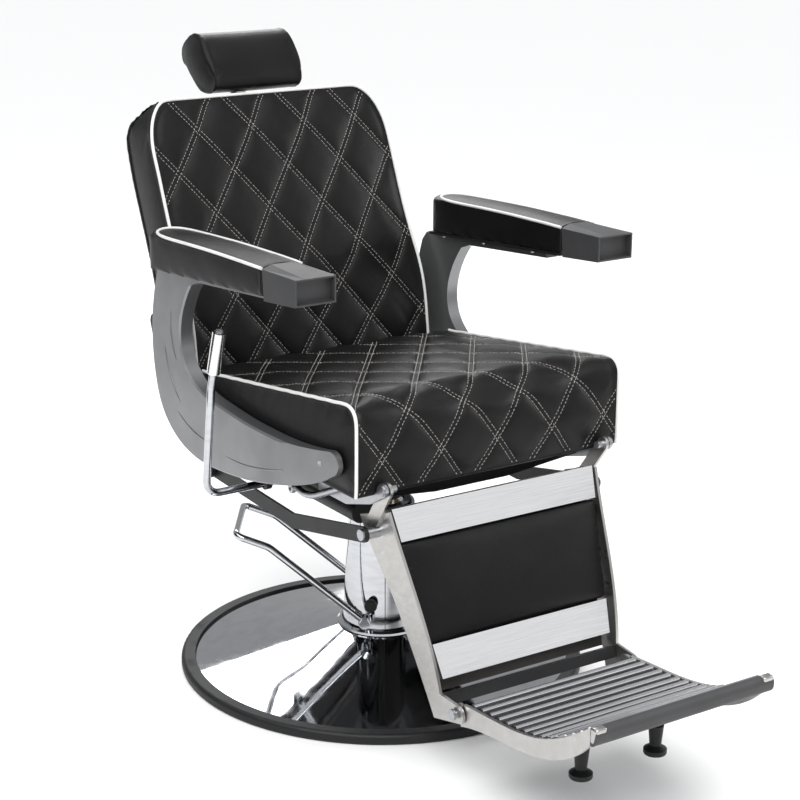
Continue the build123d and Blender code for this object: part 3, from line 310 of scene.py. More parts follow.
ply = Finish("plywood", (0.03, 0.026, 0.022))
rings = ply.noise(60, 4, stretch=(0.08, 1, 1))
ply.feed(base_color=ply.mix(ply.step(rings, 0.35, 0.7), (0.034, 0.029, 0.025), (0.016, 0.014, 0.012)),
         roughness=0.5 + 0.25 * rings,
         normal=ply.bump(rings, 0.0003, 0.5))
finishes["plywood"] = ply
print("coat, rubber and plywood ready")

# %% [markdown]
# ## Leatherette, piping and thread
# The covers are black leatherette: a vinyl skin embossed with a pebble grain about 1.5 mm across.
# The grain comes from a cell pattern whose edges are the creases between pebbles, with finer
# pores over it. The creases are also painted darker than the pebble tops, as painted shade.
# Gloss rises and falls slowly, as skin oils and wiping leave it. The piping is white vinyl
# rolled round a cord, and the thread is off-white and twisted.

# %% Leatherette
def leather(name, colour, lighter, rough):
    """Embossed leatherette with creased pebbles, pores, slow changes of gloss and painted shade in the
    creases.
    """
    made = Finish(name, colour, specular_ior_level=0.2)
    warp = made.noise(160, 2)
    pebbles = made.cells(620, "DISTANCE_TO_EDGE")
    pores = made.noise(2600, 2)
    slow = made.noise(11, 4)
    soft = made.noise(70, 3, stretch=(1, 1, 0.6))
    crease = made.step(pebbles, 0.0, 0.22)
    skin = made.bump(crease * (0.75 + 0.25 * warp) + 0.15 * pores, 0.00016, 0.55)
    # The colour is darker at the cell edges than on the pebble tops: painted shade in the creases, over the
    # real relief.
    made.feed(base_color=made.mix(crease, (colour[0] * 0.6, colour[1] * 0.6, colour[2] * 0.6),
                                  made.mix(made.step(slow, 0.35, 0.75), colour, lighter)),
              roughness=rough + 0.12 * slow - 0.07 * crease + 0.05 * soft,
              normal=made.bump(soft, 0.0006, 0.35, under=skin))
    finishes[name] = made


leather("black_leather", (0.0062, 0.0058, 0.0062), (0.0100, 0.0094, 0.0096), 0.33)
leather("back_panel", (0.0062, 0.0058, 0.0062), (0.0098, 0.0093, 0.0094), 0.40)

# %% Piping and thread
piping_vinyl = Finish("white_piping", (0.80, 0.80, 0.78), coat_weight=0.15, coat_roughness=0.3)
rolled = piping_vinyl.noise(300, 3)
handled = piping_vinyl.step(piping_vinyl.noise(18, 5), 0.5, 0.85)
piping_vinyl.feed(base_color=piping_vinyl.mix(handled, (0.74, 0.74, 0.72), (0.60, 0.59, 0.56)),
                  roughness=0.34 + 0.16 * rolled,
                  normal=piping_vinyl.bump(rolled, 0.0002, 0.5))
finishes["white_piping"] = piping_vinyl

thread = Finish("pale_thread", (0.42, 0.40, 0.37), sheen_weight=0.2)
twist = thread.noise(1400, 2)
thread.feed(base_color=thread.mix(twist, (0.30, 0.285, 0.26), (0.52, 0.50, 0.465)),
            roughness=0.55 + 0.25 * twist,
            normal=thread.bump(twist, 0.0001, 0.6))
finishes["pale_thread"] = thread

wall = Finish("studio_white", (0.92, 0.92, 0.92))
wall.feed(roughness=0.75 + 0.1 * wall.noise(3, 2))
floor.data.materials.append(wall.material)
print(len(finishes), "finishes:", ", ".join(sorted(finishes)))

# %% [markdown]
# ## Finish the engineered parts
# Each engineered piece names the material slot it takes its finish from, so most finishes can be
# handed out straight from the record. A few pieces are given a closer finish by name.

# %% Hand out the finishes
def dress(piece, finish):
    """Give a piece one finish all over."""
    if not piece.data.materials:
        piece.data.materials.append(None)
    for holder in piece.material_slots:
        holder.material = finishes[finish].material


slot_of = {row["node"]: row["material_slot"] for row in frame["record"]["subparts"]}
for node, piece in cad.items():
    dress(piece, slot_of[node])
closer = {"foot_sides": "leg_aluminium", "leg_arms": "leg_aluminium", "foot_tray": "tread_shadow",
          "foot_nose": "cap_grey", "leg_brackets": "machined_steel"}
for node, finish in closer.items():
    dress(cad[node], finish)
print({finish: sum(s == finish for s in slot_of.values()) for finish in sorted(set(slot_of.values()))})

# %% [markdown]
# Bright metal looks bright only beside something dark. Two black cards stand out of view on either
# side, as a product photographer would set them, so that the chrome tubes have dark edges.

# %% Black flags
def black_flag(name, place, width, height):
    """A black card beside the chair, seen only in reflections: it draws dark edges on bright metal."""
    bpy.ops.mesh.primitive_plane_add(size=1)
    card = bpy.context.object
    card.name = name
    facing = Vector((-place[0], -place[1], 0)).to_track_quat("Z", "Y").to_matrix().to_4x4()
    card.data.transform(Matrix.Translation(place) @ facing @ Matrix.Diagonal((height, width, 1, 1)))
    for seen in ("visible_camera", "visible_diffuse", "visible_shadow", "visible_transmission"):
        setattr(card, seen, False)
    dress(card, "black_rubber")


black_flag("left_flag", (-1.15, 0.62, 0.62), 0.9, 1.1)
black_flag("right_flag", (1.05, -0.95, 0.35), 0.5, 0.6)
print("two flags stand beside the chair")

# %% [markdown]
# ## How the cushions are made
# A cushion is foam in a sewn cover. Foam pushes the leather out everywhere except where something
# holds it: the board underneath and the piped seams along its edges. So each cushion starts from
# the plain block that the engineering model keeps for it, is remeshed into small even faces, and
# is blown up gently as cloth, with the faces on the board and the seam lines pinned. A cap on the
# travel keeps it the size it was engineered. Quilting and seams come afterwards.

# %% Small helpers for picking and measuring
def deselect_all():
    """Leave nothing selected, so an operator acts only on the next piece."""
    bpy.ops.object.select_all(action="DESELECT")


def work_on(piece):
    """Select one piece alone and make it the active one."""
    deselect_all()
    piece.select_set(True)
    bpy.context.view_layer.objects.active = piece


def points_of(piece):
    """A piece's vertex positions as rows of x, y, z."""
    flat = np.empty(len(piece.data.vertices) * 3)
    piece.data.vertices.foreach_get("co", flat)
    return flat.reshape(-1, 3)


def normals_of(piece):
    """A piece's vertex normals as rows of x, y, z."""
    flat = np.empty(len(piece.data.vertices) * 3)
    piece.data.vertex_normals.foreach_get("vector", flat)
    return flat.reshape(-1, 3)


def move_points(piece, rows):
    """Put a piece's vertices at new positions."""
    piece.data.vertices.foreach_set("co", np.ascontiguousarray(rows).ravel())
    piece.data.update()


def apply_modifier(piece, kind, **settings):
    """Add a modifier with its settings and apply it at once."""
    work_on(piece)
    modifier = piece.modifiers.new(kind.lower(), kind)
    for key, value in settings.items():
        setattr(modifier, key, value)
    bpy.ops.object.modifier_apply(modifier=modifier.name)


def smooth(low, high, value):
    """0 below low, 1 above high and a smooth rise between; it works on arrays."""
    t = np.clip((value - low) / (high - low), 0, 1)
    return t * t * (3 - 2 * t)


def solid_copy(node, name):
    """A welded copy of an engineered piece's mesh, with its faces turned outwards."""
    piece = bpy.data.objects.new(name, cad[node].data.copy())
    bpy.context.collection.objects.link(piece)
    piece.data.materials.clear()
    work_on(piece)
    bpy.ops.object.mode_set(mode="EDIT")
    bpy.ops.mesh.select_all(action="SELECT")
    bpy.ops.mesh.remove_doubles(threshold=0.00002)
    bpy.ops.mesh.normals_make_consistent(inside=False)
    bpy.ops.object.mode_set(mode="OBJECT")
    return piece


def surface_of(piece):
    """A search tree over a piece's faces, for rays and nearest points."""
    return BVHTree.FromObject(piece, bpy.context.evaluated_depsgraph_get())


def near_line(rows, line):
    """How far each point lies from a line of closely spaced points."""
    tree = kdtree.KDTree(len(line))
    for index, point in enumerate(line):
        tree.insert(Vector(point), index)
    tree.balance()
    return np.array([tree.find(row)[2] for row in rows])


# %% The stuffing recipe
stuffing_frames = 20


def stuff(node, name, grain, shrink, travel, held, shape=None, soften=None, pressure=4.0,
          finish="black_leather"):
    """Turn an engineered block into a stuffed cushion.

    grain is the remesh size, shrink how far the cover starts inside the block, travel the cap on
    its swelling, and held a function that gives each point's pinning from 0 to 1. shape moves the
    block's few corners first, and soften moves the remeshed points before they are blown up.
    """
    piece = solid_copy(node, name)
    if shape is not None:
        move_points(piece, shape(points_of(piece)))
    apply_modifier(piece, "REMESH", mode="VOXEL", voxel_size=grain, adaptivity=0)
    if soften is not None:
        move_points(piece, soften(points_of(piece), normals_of(piece)))
    start = points_of(piece)
    pinned = held(start, normals_of(piece))
    inward = shrink * (1 - pinned)[:, None]
    start = start - normals_of(piece) * inward
    move_points(piece, start)
    pin = piece.vertex_groups.new(name="held")
    for index in np.flatnonzero(pinned > 0.02):
        pin.add([int(index)], float(pinned[index]), "REPLACE")
    cloth = piece.modifiers.new("stuffing", "CLOTH")
    cloth.settings.use_pressure = True
    cloth.settings.uniform_pressure_force = pressure
    cloth.settings.vertex_group_mass = "held"
    cloth.settings.effector_weights.gravity = 0
    cloth.settings.quality = 4
    for frame_number in range(1, stuffing_frames + 1):
        scene.frame_set(frame_number)
    work_on(piece)
    bpy.ops.object.modifier_apply(modifier=cloth.name)
    scene.frame_set(1)
    swell = points_of(piece) - start
    length = np.linalg.norm(swell, axis=1, keepdims=True)
    move_points(piece, start + swell * np.minimum(1, travel / np.maximum(length, 1e-9)))
    piece.vertex_groups.clear()
    apply_modifier(piece, "SUBSURF", levels=1, render_levels=1)
    piece.data.shade_smooth()
    dress(piece, finish)
    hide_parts(node)
    print(name, len(piece.data.vertices), "points")
    return piece


# %% [markdown]
# ## Seams and piping
# Piping is a thin cord wrapped in a strip of vinyl and sewn into the seam where two panels meet.
# It follows the cushion's edge exactly, so its path is laid on the block first. The same path
# pins the seam while the cushion is stuffed, and carries the cord afterwards.

# %% Lay a path, and sweep a round cord along it
def even_steps(corners, spacing):
    """Points a fixed distance apart along a run of straight pieces."""
    corners = np.array(corners, float)
    lengths = np.linalg.norm(np.diff(corners, axis=0), axis=1)
    along = np.concatenate([[0], np.cumsum(lengths)])
    wanted = np.linspace(0, along[-1], max(2, int(along[-1] / spacing) + 1))
    return np.column_stack([np.interp(wanted, along, corners[:, k]) for k in range(3)])


def relax(rows, passes):
    """Soften a path's corners, keeping its two ends."""
    rows = np.array(rows, float)
    for _ in range(passes):
        rows[1:-1] = (rows[:-2] + 2 * rows[1:-1] + rows[2:]) / 4
    return rows


def settle(rows, piece, lift=0.0012, passes=6):
    """Drop a path onto a finished surface and raise it by lift along the surface's normal."""
    tree = surface_of(piece)
    landed = []
    for row in rows:
        spot, normal, _, _ = tree.find_nearest(Vector(row))
        landed.append(spot + normal * lift)
    return relax(landed, passes)


def cord_along(name, rows, radius, finish, body, sides=3, knots=2):
    """A round cord swept along a path, as a closed mesh with flat capped ends."""
    line = bpy.data.curves.new(name, "CURVE")
    line.dimensions = "3D"
    line.bevel_depth = radius
    line.bevel_resolution = sides
    line.use_fill_caps = True
    spline = line.splines.new("NURBS")
    rows = rows[::knots] if (len(rows) - 1) % knots == 0 else np.vstack([rows[::knots], rows[-1:]])
    spline.points.add(len(rows) - 1)
    for point, row in zip(spline.points, rows):
        point.co = (*row, 1)
    spline.order_u = 3
    spline.use_endpoint_u = True
    spline.resolution_u = 2
    piece = bpy.data.objects.new(name, line)
    bpy.context.collection.objects.link(piece)
    work_on(piece)
    bpy.ops.object.convert(target="MESH")
    piece = bpy.context.object
    piece.data.shade_smooth()
    dress(piece, finish)
    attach(piece, body)
    return piece


cord_radius = 0.0027
seam_inset = 0.0015
print("piping is", round(cord_radius * 2000, 1), "mm across")

# %% [markdown]
# ## The quilted pattern
# Back and seat share one pattern: diamonds 108 mm wide and 146 mm tall, sewn with two rows of
# pale thread 7 mm apart. On a flat pattern the rows are straight lines of two slants, so the
# distance to the nearest line of each slant gives everything: the leather is pulled down beside
# the thread and swells between. Both cushions use two numbers, across and up the panel.

# %% Diamonds as two families of lines
diamond_width = 0.108
diamond_half = 0.0728
slant = diamond_width / 2 / diamond_half
to_line = 1 / math.hypot(1, slant)
row_offset = 0.0036
quilt_sink = 0.0022


def line_gaps(across, up, start):
    """Distance from each point to the nearest line of each of the two slants."""
    gaps = []
    for sign in (1, -1):
        turned = across - start[0] + sign * slant * (up - start[1])
        wrapped = (turned + diamond_width / 2) % diamond_width - diamond_width / 2
        gaps.append(np.abs(wrapped) * to_line)
    return gaps


def quilt(across, up, start, puff=0.0042, groove=0.0011):
    """Height of the quilted skin: puffed diamonds, a flat band between rows, a dent at each row."""
    height = np.full(across.shape, puff)
    reach = diamond_width * to_line / 2 - row_offset
    for gap in line_gaps(across, up, start):
        share = np.clip((gap - row_offset) / reach, 0, 1)
        height = height * (1 - (1 - share) ** 3.2)
    for gap in line_gaps(across, up, start):
        height = height - groove * np.exp(-((gap - row_offset) / 0.0016) ** 2)
    return height


def sewing_rows(across_range, up_range, start):
    """The ends of every sewn row, on the flat pattern, clipped to a rectangle."""
    rows = []
    for sign in (1, -1):
        reach = slant * (up_range[1] - up_range[0]) + across_range[1] - across_range[0]
        count = int(reach / diamond_width) + 2
        for index in range(-count, count + 1):
            for side in (-1, 1):
                shift = start[0] + index * diamond_width + side * row_offset / to_line
                ups = np.arange(up_range[0], up_range[1], 0.0005)
                sides = shift - sign * slant * (ups - start[1])
                inside = (sides > across_range[0]) & (sides < across_range[1])
                if inside.sum() > 20:
                    rows.append(np.column_stack([sides[inside], ups[inside]]))
    return rows


print("a line every", round(diamond_width * to_line * 1000, 1), "mm, measured square to it")

# %% [markdown]
# ## Stitches
# From a metre away the thread is what the eye reads first, and it is a dashed line. One stitch is
# modelled as a short bead with sunk ends. It is then copied along each row at a steady pitch, laid on
# the stuffed and quilted surface, and all copies on a cushion become one piece.

# %% One stitch, and a way to lay copies of it
stitch_length = 0.0046
stitch_pitch = 0.0063
stitch_radius = 0.00050


def make_stitch():
    """A bead six-sided in section, swollen in the middle, its two ends turned down."""
    deselect_all()
    bpy.ops.mesh.primitive_cylinder_add(vertices=6, radius=stitch_radius, depth=stitch_length,
                                        end_fill_type="NGON", rotation=(0, math.pi / 2, 0))
    bead = bpy.context.object
    bpy.ops.object.transform_apply(location=True, rotation=True, scale=True)
    bpy.ops.object.mode_set(mode="EDIT")
    for cut in (-stitch_length / 4, stitch_length / 4):
        bpy.ops.mesh.select_all(action="SELECT")
        bpy.ops.mesh.bisect(plane_co=(cut, 0, 0), plane_no=(1, 0, 0))
    bpy.ops.mesh.select_all(action="DESELECT")
    bpy.ops.object.mode_set(mode="OBJECT")
    rows = points_of(bead)
    share = np.abs(rows[:, 0]) / (stitch_length / 2)
    thin = np.where(share > 0.8, 0.45, 1.0)
    rows[:, 1] *= thin
    rows[:, 2] = rows[:, 2] * thin - np.where(share > 0.8, 0.0007, 0.0)
    move_points(bead, rows)
    return bead


stitch = make_stitch()


def gather(name, model, places, finish, body):
    """Copies of one small model at many places, joined into a single piece."""
    gathered = bmesh.new()
    for place in places:
        copy = model.data.copy()
        copy.transform(place)
        gathered.from_mesh(copy)
        bpy.data.meshes.remove(copy)
    data = bpy.data.meshes.new(name)
    gathered.to_mesh(data)
    gathered.free()
    data.shade_smooth()
    piece = bpy.data.objects.new(name, data)
    bpy.context.collection.objects.link(piece)
    dress(piece, finish)
    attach(piece, body)
    print(name, len(places), "copies")
    return piece


def sew(name, lines, body):
    """Lay stitches along lines of places and normals."""
    places = []
    for spots, normals in lines:
        steps = np.concatenate([[0], np.cumsum(np.linalg.norm(np.diff(spots, axis=0), axis=1))])
        for distance in np.arange(stitch_pitch / 2, steps[-1] - stitch_length / 2, stitch_pitch):
            index = int(np.searchsorted(steps, distance))
            low, high = max(index - 3, 0), min(index + 3, len(spots) - 1)
            forward = Vector(spots[high] - spots[low]).normalized()
            side = Vector(normals[index]).cross(forward).normalized()
            outward = forward.cross(side)
            turn = Matrix((forward, side, outward)).transposed().to_4x4()
            lifted = Vector(spots[index]) + outward * stitch_radius * 0.3
            places.append(Matrix.Translation(lifted) @ turn)
    return gather(name, stitch, places, "pale_thread", body)


# %% [markdown]
# ## The backrest
# The backrest leans back about 22 degrees and bends more at its foot. Its front cover is one
# quilted panel, edged with piping up both sides and over the top; the border is plain leather.
# The block's outline is found with rays, so the piping sits exactly on its front edge.

# %% The piping's path round the back
back_block = solid_copy("back_cushion", "back_block")
back_tree = surface_of(back_block)
back_low, back_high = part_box("back_cushion")
back_edge = back_high[0]
back_foot = back_low[2]
back_head = back_high[2]
corner_start = back_head - 0.085
corner_width = 0.055


def front_depth(x, z):
    """How far back the front face of the backrest lies at a place seen from the front."""
    spot, _, _, _ = back_tree.ray_cast(Vector((x, -1, z)), Vector((0, 1, 0)))
    return spot[1] if spot is not None else None


def back_outline_seen(inset):
    """The backrest's outline from the front: up one side, round the corner and to the middle."""
    rows = [(back_edge - inset, z) for z in np.linspace(back_foot + 0.002, corner_start, 60)]
    centre = (back_edge - corner_width, corner_start)
    for angle in np.linspace(0, math.pi / 2, 22)[1:]:
        rows.append((centre[0] + (corner_width - inset) * math.cos(angle),
                     centre[1] + (back_head - corner_start - inset) * math.sin(angle)))
    rows += [(x, back_head - inset) for x in np.linspace(centre[0], 0, 20)[1:]]
    return rows


def back_piping_path():
    """The path on the front edge, from the left foot over the top to the right foot."""
    half = []
    for x, z in back_outline_seen(seam_inset):
        depth = front_depth(x, z)
        if depth is not None:
            half.append((x, depth, z))
    return np.array(half + [(-x, y, z) for x, y, z in reversed(half[:-1])])


back_path = back_piping_path()
back_seam_length = np.linalg.norm(np.diff(back_path, axis=0), axis=1).sum()
print("back piping", len(back_path), "points,", round(float(back_seam_length), 2), "m")

# %% Stuff the backrest
def back_held(rows, normals):
    """The seam, the rear face on its board and the foot are held."""
    seam = 1 - smooth(0.003, 0.010, near_line(rows, back_path))
    rear = smooth(0.55, 0.85, normals[:, 1])
    foot = 1 - smooth(0.004, 0.012, rows[:, 2] - back_foot)
    return np.maximum(np.maximum(seam * 0.97, rear), foot)


def rear_held(rows, normals):
    """The rear panel is a thin pad: only the face against the cushion is held."""
    return smooth(0.3, 0.7, -normals[:, 1])


back_cushion = stuff("back_cushion", "back_cover", 0.005, 0.003, 0.009, back_held)
rear_panel = stuff("back_board", "rear_cover", 0.0055, 0.0015, 0.002, rear_held, pressure=2.0,
                   finish="back_panel")
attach(rear_panel, "backrest")
back_rise = 0.0676 / diamond_half
back_start = (-0.147, 0.893 / back_rise)


def quilt_back(piece):
    """Press the diamonds into the front of the backrest."""
    rows, normals = points_of(piece), normals_of(piece)
    facing = smooth(0.45, 0.75, -normals[:, 1]) * smooth(0.004, 0.022, near_line(rows, back_path))
    height = quilt(rows[:, 0], rows[:, 2] / back_rise, back_start)
    move_points(piece, rows + normals * ((height - quilt_sink) * facing)[:, None])


quilt_back(back_cushion)
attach(back_cushion, "backrest")
bpy.data.objects.remove(back_block)

# %% Pipe and stitch the backrest
cord_along("back_piping", settle(back_path, back_cushion), cord_radius, "white_piping", "backrest")


def lay_on_back(line):
    """Carry one sewn row from the flat pattern to the backrest's front."""
    tree = surface_of(back_cushion)
    spots, normals = [], []
    for across, up in line[::3]:
        spot, normal, _, _ = tree.ray_cast(Vector((across, -1, up * back_rise)), Vector((0, 1, 0)))
        if spot is not None and normal[1] < -0.3:
            spots.append(spot)
            normals.append(normal)
    return np.array(spots), np.array(normals)


piping_margin = 0.0035
fewest_points = 8


def trimmed(lines, path):
    """Cut rows where they meet the piping, keeping each clear run."""
    kept = []
    for spots, normals in lines:
        if len(spots) < fewest_points:
            continue
        clear = near_line(spots, path) > piping_margin
        edges = np.flatnonzero(np.diff(np.concatenate([[0], clear.astype(int), [0]])))
        for first, last in zip(edges[::2], edges[1::2]):
            if last - first > fewest_points:
                kept.append((spots[first:last], normals[first:last]))
    return kept


back_rows = sewing_rows((-back_edge, back_edge),
                        ((back_foot + 0.02) / back_rise, back_head / back_rise), back_start)
back_lines = trimmed([lay_on_back(line) for line in back_rows], back_path)
sew("back_stitches", back_lines, "backrest")

# %% [markdown]
# ## The seat
# The seat slopes down to the rear. Its quilted panel runs in one piece from the bottom of the
# front, over the rounded front edge and back across the top, so the pattern is measured up the
# front, round the edge and along the top, like a tape laid on the leather. Piping closes the two
# side panels: up the front corners and back along the top edges. The cover is also pulled down
# over the edge of the board.

# %% Sizes of the seat and its side seams
seat_low, seat_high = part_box("seat_cushion")
board_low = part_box("seat_board")[0]
seat_edge = seat_high[0]
nose_radius = 0.042
seam_radius = 0.028
nose_y = seat_low[1] + nose_radius
nose_z = seat_high[2] - nose_radius
seat_fall = (seat_high[2] - 0.515) / (seat_high[1] - seat_low[1])


def seat_profile(tape, lift=0.0, radius=nose_radius):
    """The place (y, z) on the seat's profile at a length of tape up the front and over the top."""
    turn = tape / radius
    if tape < 0:
        return seat_low[1] - lift, seat_high[2] - radius + tape
    if turn < math.pi / 2:
        return (seat_low[1] + radius - (radius + lift) * math.cos(turn),
                seat_high[2] - radius + (radius + lift) * math.sin(turn))
    run = tape - radius * math.pi / 2
    return seat_low[1] + radius + run, seat_high[2] + lift - seat_fall * run


def seat_tape(y, z):
    """The inverse: the length of tape at a place, for arrays."""
    angle = np.arctan2(np.maximum(z - nose_z, 0), np.maximum(nose_y - y, 1e-6))
    front = z - nose_z
    top = nose_radius * math.pi / 2 + y - nose_y
    corner = nose_radius * angle
    return np.where(y > nose_y, top, np.where(z < nose_z, front, corner))


def seat_seam(side):
    """Up the front corner, round the nose and back along the top edge of one side."""
    bottom = board_low[2] - (seat_high[2] - seam_radius) + 0.004
    rear = seam_radius * math.pi / 2 + (seat_high[1] - 0.020) - (seat_low[1] + seam_radius)
    rows = [(side * (seat_edge - seam_inset), *seat_profile(tape, radius=seam_radius))
            for tape in np.arange(bottom, rear, 0.004)]
    return np.array(rows)


seat_seams = {"left": seat_seam(1), "right": seat_seam(-1)}
print("seat seam", len(seat_seams["left"]), "points a side")

# %% Stuff the seat
def seat_shape(rows):
    """Draw the block's underside down over the edge of its board."""
    rows = rows.copy()
    under = rows[:, 2] < seat_low[2] + 0.012
    rows[under, 2] -= seat_low[2] - board_low[2] - 0.001
    return rows


def seat_soften(rows, normals):
    """Roll the front edge over a larger radius in the middle than at the side seams."""
    rows = rows.copy()
    radius = seam_radius + (nose_radius - seam_radius) * smooth(0.0, 0.09, seat_edge - np.abs(rows[:, 0]))
    back = seat_low[1] + radius - rows[:, 1]
    above = rows[:, 2] - (seat_high[2] - radius)
    reach = np.hypot(back, above)
    over = (back > 0) & (above > 0) & (reach > radius)
    pull = np.where(over, radius / np.maximum(reach, 1e-6), 1)
    rows[:, 1] = seat_low[1] + radius - back * pull
    rows[:, 2] = seat_high[2] - radius + above * pull
    return rows


def seat_held(rows, normals):
    """The side seams, the underside and the rear foot are held."""
    seams = np.minimum(near_line(rows, seat_seams["left"]), near_line(rows, seat_seams["right"]))
    seam = 1 - smooth(0.003, 0.010, seams)
    under = 1 - smooth(0.004, 0.020, rows[:, 2] - board_low[2])
    return np.maximum(seam * 0.97, under)


seat_cushion = stuff("seat_cushion", "seat_cover", 0.005, 0.003, 0.010, seat_held, shape=seat_shape,
                     soften=seat_soften)
seat_start = (0.009, 0.490 - nose_z)


def quilt_seat(piece):
    """Press the diamonds into the front and top of the seat."""
    rows, normals = points_of(piece), normals_of(piece)
    up_front = np.maximum(-normals[:, 1], normals[:, 2])
    facing = smooth(0.40, 0.65, up_front)
    for seam in seat_seams.values():
        facing = facing * smooth(0.004, 0.022, near_line(rows, seam))
    facing = facing * smooth(0.0, 0.02, rows[:, 2] - board_low[2] - 0.004)
    height = quilt(rows[:, 0], seat_tape(rows[:, 1], rows[:, 2]), seat_start)
    move_points(piece, rows + normals * ((height - quilt_sink) * facing)[:, None])


quilt_seat(seat_cushion)
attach(seat_cushion, "seat")

# %% Pipe and stitch the seat
for side, seam in seat_seams.items():
    cord_along(f"seat_piping_{side}", settle(seam, seat_cushion), cord_radius, "white_piping", "seat")


def lay_on_seat(line):
    """Carry one sewn row from the flat pattern round the seat's nose and over its top."""
    tree = surface_of(seat_cushion)
    spots, normals = [], []
    for across, up in line[::3]:
        outer = Vector((across, *seat_profile(up, lift=0.04)))
        inner = Vector((across, *seat_profile(up, lift=-0.02)))
        spot, normal, _, _ = tree.ray_cast(outer, (inner - outer).normalized())
        if spot is not None:
            spots.append(spot)
            normals.append(normal)
    return np.array(spots), np.array(normals)


seat_tape_end = nose_radius * math.pi / 2 + seat_high[1] - nose_y - 0.03
seat_rows = sewing_rows((-seat_edge, seat_edge), (board_low[2] - nose_z + 0.008, seat_tape_end), seat_start)
both_seams = np.vstack(list(seat_seams.values()))
seat_lines = trimmed([lay_on_seat(line) for line in seat_rows], both_seams)
sew("seat_stitches", seat_lines, "seat")

# %% [markdown]
# ## Armrests, headrest and leg pad
# The two armrest pads are plain leather over foam with a rounded rear end, piped round the top edge.
# The headrest is a small bolster: foam wrapped over a curved board, its two ends closed by
# D-shaped panels that bulge. The leg pad is a thin upholstered panel between two metal strips.

# %% Armrest pads
arm_low, arm_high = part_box("arm_pad_left")
arm_inner, arm_outer = arm_low[0], arm_high[0]
arm_front, arm_rear = arm_low[1], arm_high[1]
arm_round = 0.028


def arm_edge_path(side):
    """The top edge of an armrest pad: back along the outside, round the rear and forward inside."""
    loop = [(arm_outer - seam_inset, y) for y in np.linspace(arm_front + 0.002, arm_rear - arm_round, 60)]
    for corner_x, first in ((arm_outer - arm_round, 0), (arm_inner + arm_round, math.pi / 2)):
        for angle in np.linspace(first, first + math.pi / 2, 12):
            loop.append((corner_x + (arm_round - seam_inset) * math.cos(angle),
                         arm_rear - arm_round + (arm_round - seam_inset) * math.sin(angle)))
    inner_rows = np.linspace(arm_rear - arm_round, arm_front + 0.002, 60)
    loop += [(arm_inner + seam_inset, y) for y in inner_rows]
    tree = surface_of(cad[f"arm_pad_{side}"])
    sign = 1 if side == "left" else -1
    rows = []
    for x, y in loop:
        spot, _, _, _ = tree.ray_cast(Vector((sign * x, y, 1.2)), Vector((0, 0, -1)))
        if spot is not None:
            rows.append(spot)
    return relax(np.array(rows), 80)


def arm_soften(rows, normals):
    """Crown the pad's top between its two seams."""
    rows = rows.copy()
    across = (np.abs(rows[:, 0]) - (arm_inner + arm_outer) / 2) / ((arm_outer - arm_inner) / 2)
    rows[:, 2] += 0.006 * np.clip(1 - across ** 2, 0, 1) * smooth(0.5, 0.9, normals[:, 2])
    return rows


def stuff_arm(side):
    seam = arm_edge_path(side)

    def held(rows, normals):
        edge = 1 - smooth(0.003, 0.009, near_line(rows, seam))
        under = smooth(0.6, 0.9, -normals[:, 2])
        front = 1 - smooth(0.003, 0.012, rows[:, 1] - arm_front)
        return np.maximum(np.maximum(edge * 0.97, under), front)

    pad = stuff(f"arm_pad_{side}", f"arm_cover_{side}", 0.004, 0.0015, 0.006, held, soften=arm_soften)
    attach(pad, "seat")
    cord_along(f"arm_piping_{side}", settle(seam, pad, 0.0010, 60), cord_radius * 0.95,
               "white_piping", "seat")


for side in ("left", "right"):
    stuff_arm(side)

# %% Headrest
head_low, head_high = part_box("headrest_pad")
head_middle = ((head_low[1] + head_high[1]) / 2, (head_low[2] + head_high[2]) / 2)
end_bulge = 0.011


def head_soften(rows, normals):
    """Draw the ends in, then dome the two end panels so that they bulge between their seams."""
    rows = rows.copy()
    rows[:, 0] *= 1 - (end_bulge - 0.004) / head_high[0]
    from_middle = np.hypot((rows[:, 1] - head_middle[0]) / 0.062, (rows[:, 2] - head_middle[1]) / 0.050)
    dome = end_bulge * np.clip(1 - from_middle ** 2, 0, 1) * smooth(0.6, 0.95, np.abs(normals[:, 0]))
    rows[:, 0] += np.sign(rows[:, 0]) * dome
    return rows


def head_held(rows, normals):
    """Only the seams round the two end panels are held."""
    edge = head_high[0] - (end_bulge - 0.004)
    beside = np.abs(np.abs(rows[:, 0]) - edge)
    return (1 - smooth(0.002, 0.008, beside)) * (np.abs(normals[:, 0]) < 0.92) * 0.9


headrest = stuff("headrest_pad", "headrest_cover", 0.005, 0.002, 0.008, head_held, soften=head_soften)
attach(headrest, "headrest")

# %% Leg pad
leg_low, leg_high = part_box("leg_pad")
leg_face = (-0.932, 0.362)
leg_crown = 0.006


def leg_lean(normals):
    """How squarely each normal faces out of the pad's front."""
    return normals[:, 1] * leg_face[0] + normals[:, 2] * leg_face[1]


def leg_held(rows, normals):
    """Everything but the front face is held, against the board and the two strips."""
    return np.where(leg_lean(normals) < 0.6, 1.0, 0.0)


leg_corners = points_of(cad["leg_pad"])
leg_top_half = np.abs(leg_corners[leg_corners[:, 2] > leg_high[2] - 0.02, 0]).max()
leg_bottom_half = np.abs(leg_corners[leg_corners[:, 2] < leg_low[2] + 0.02, 0]).max()


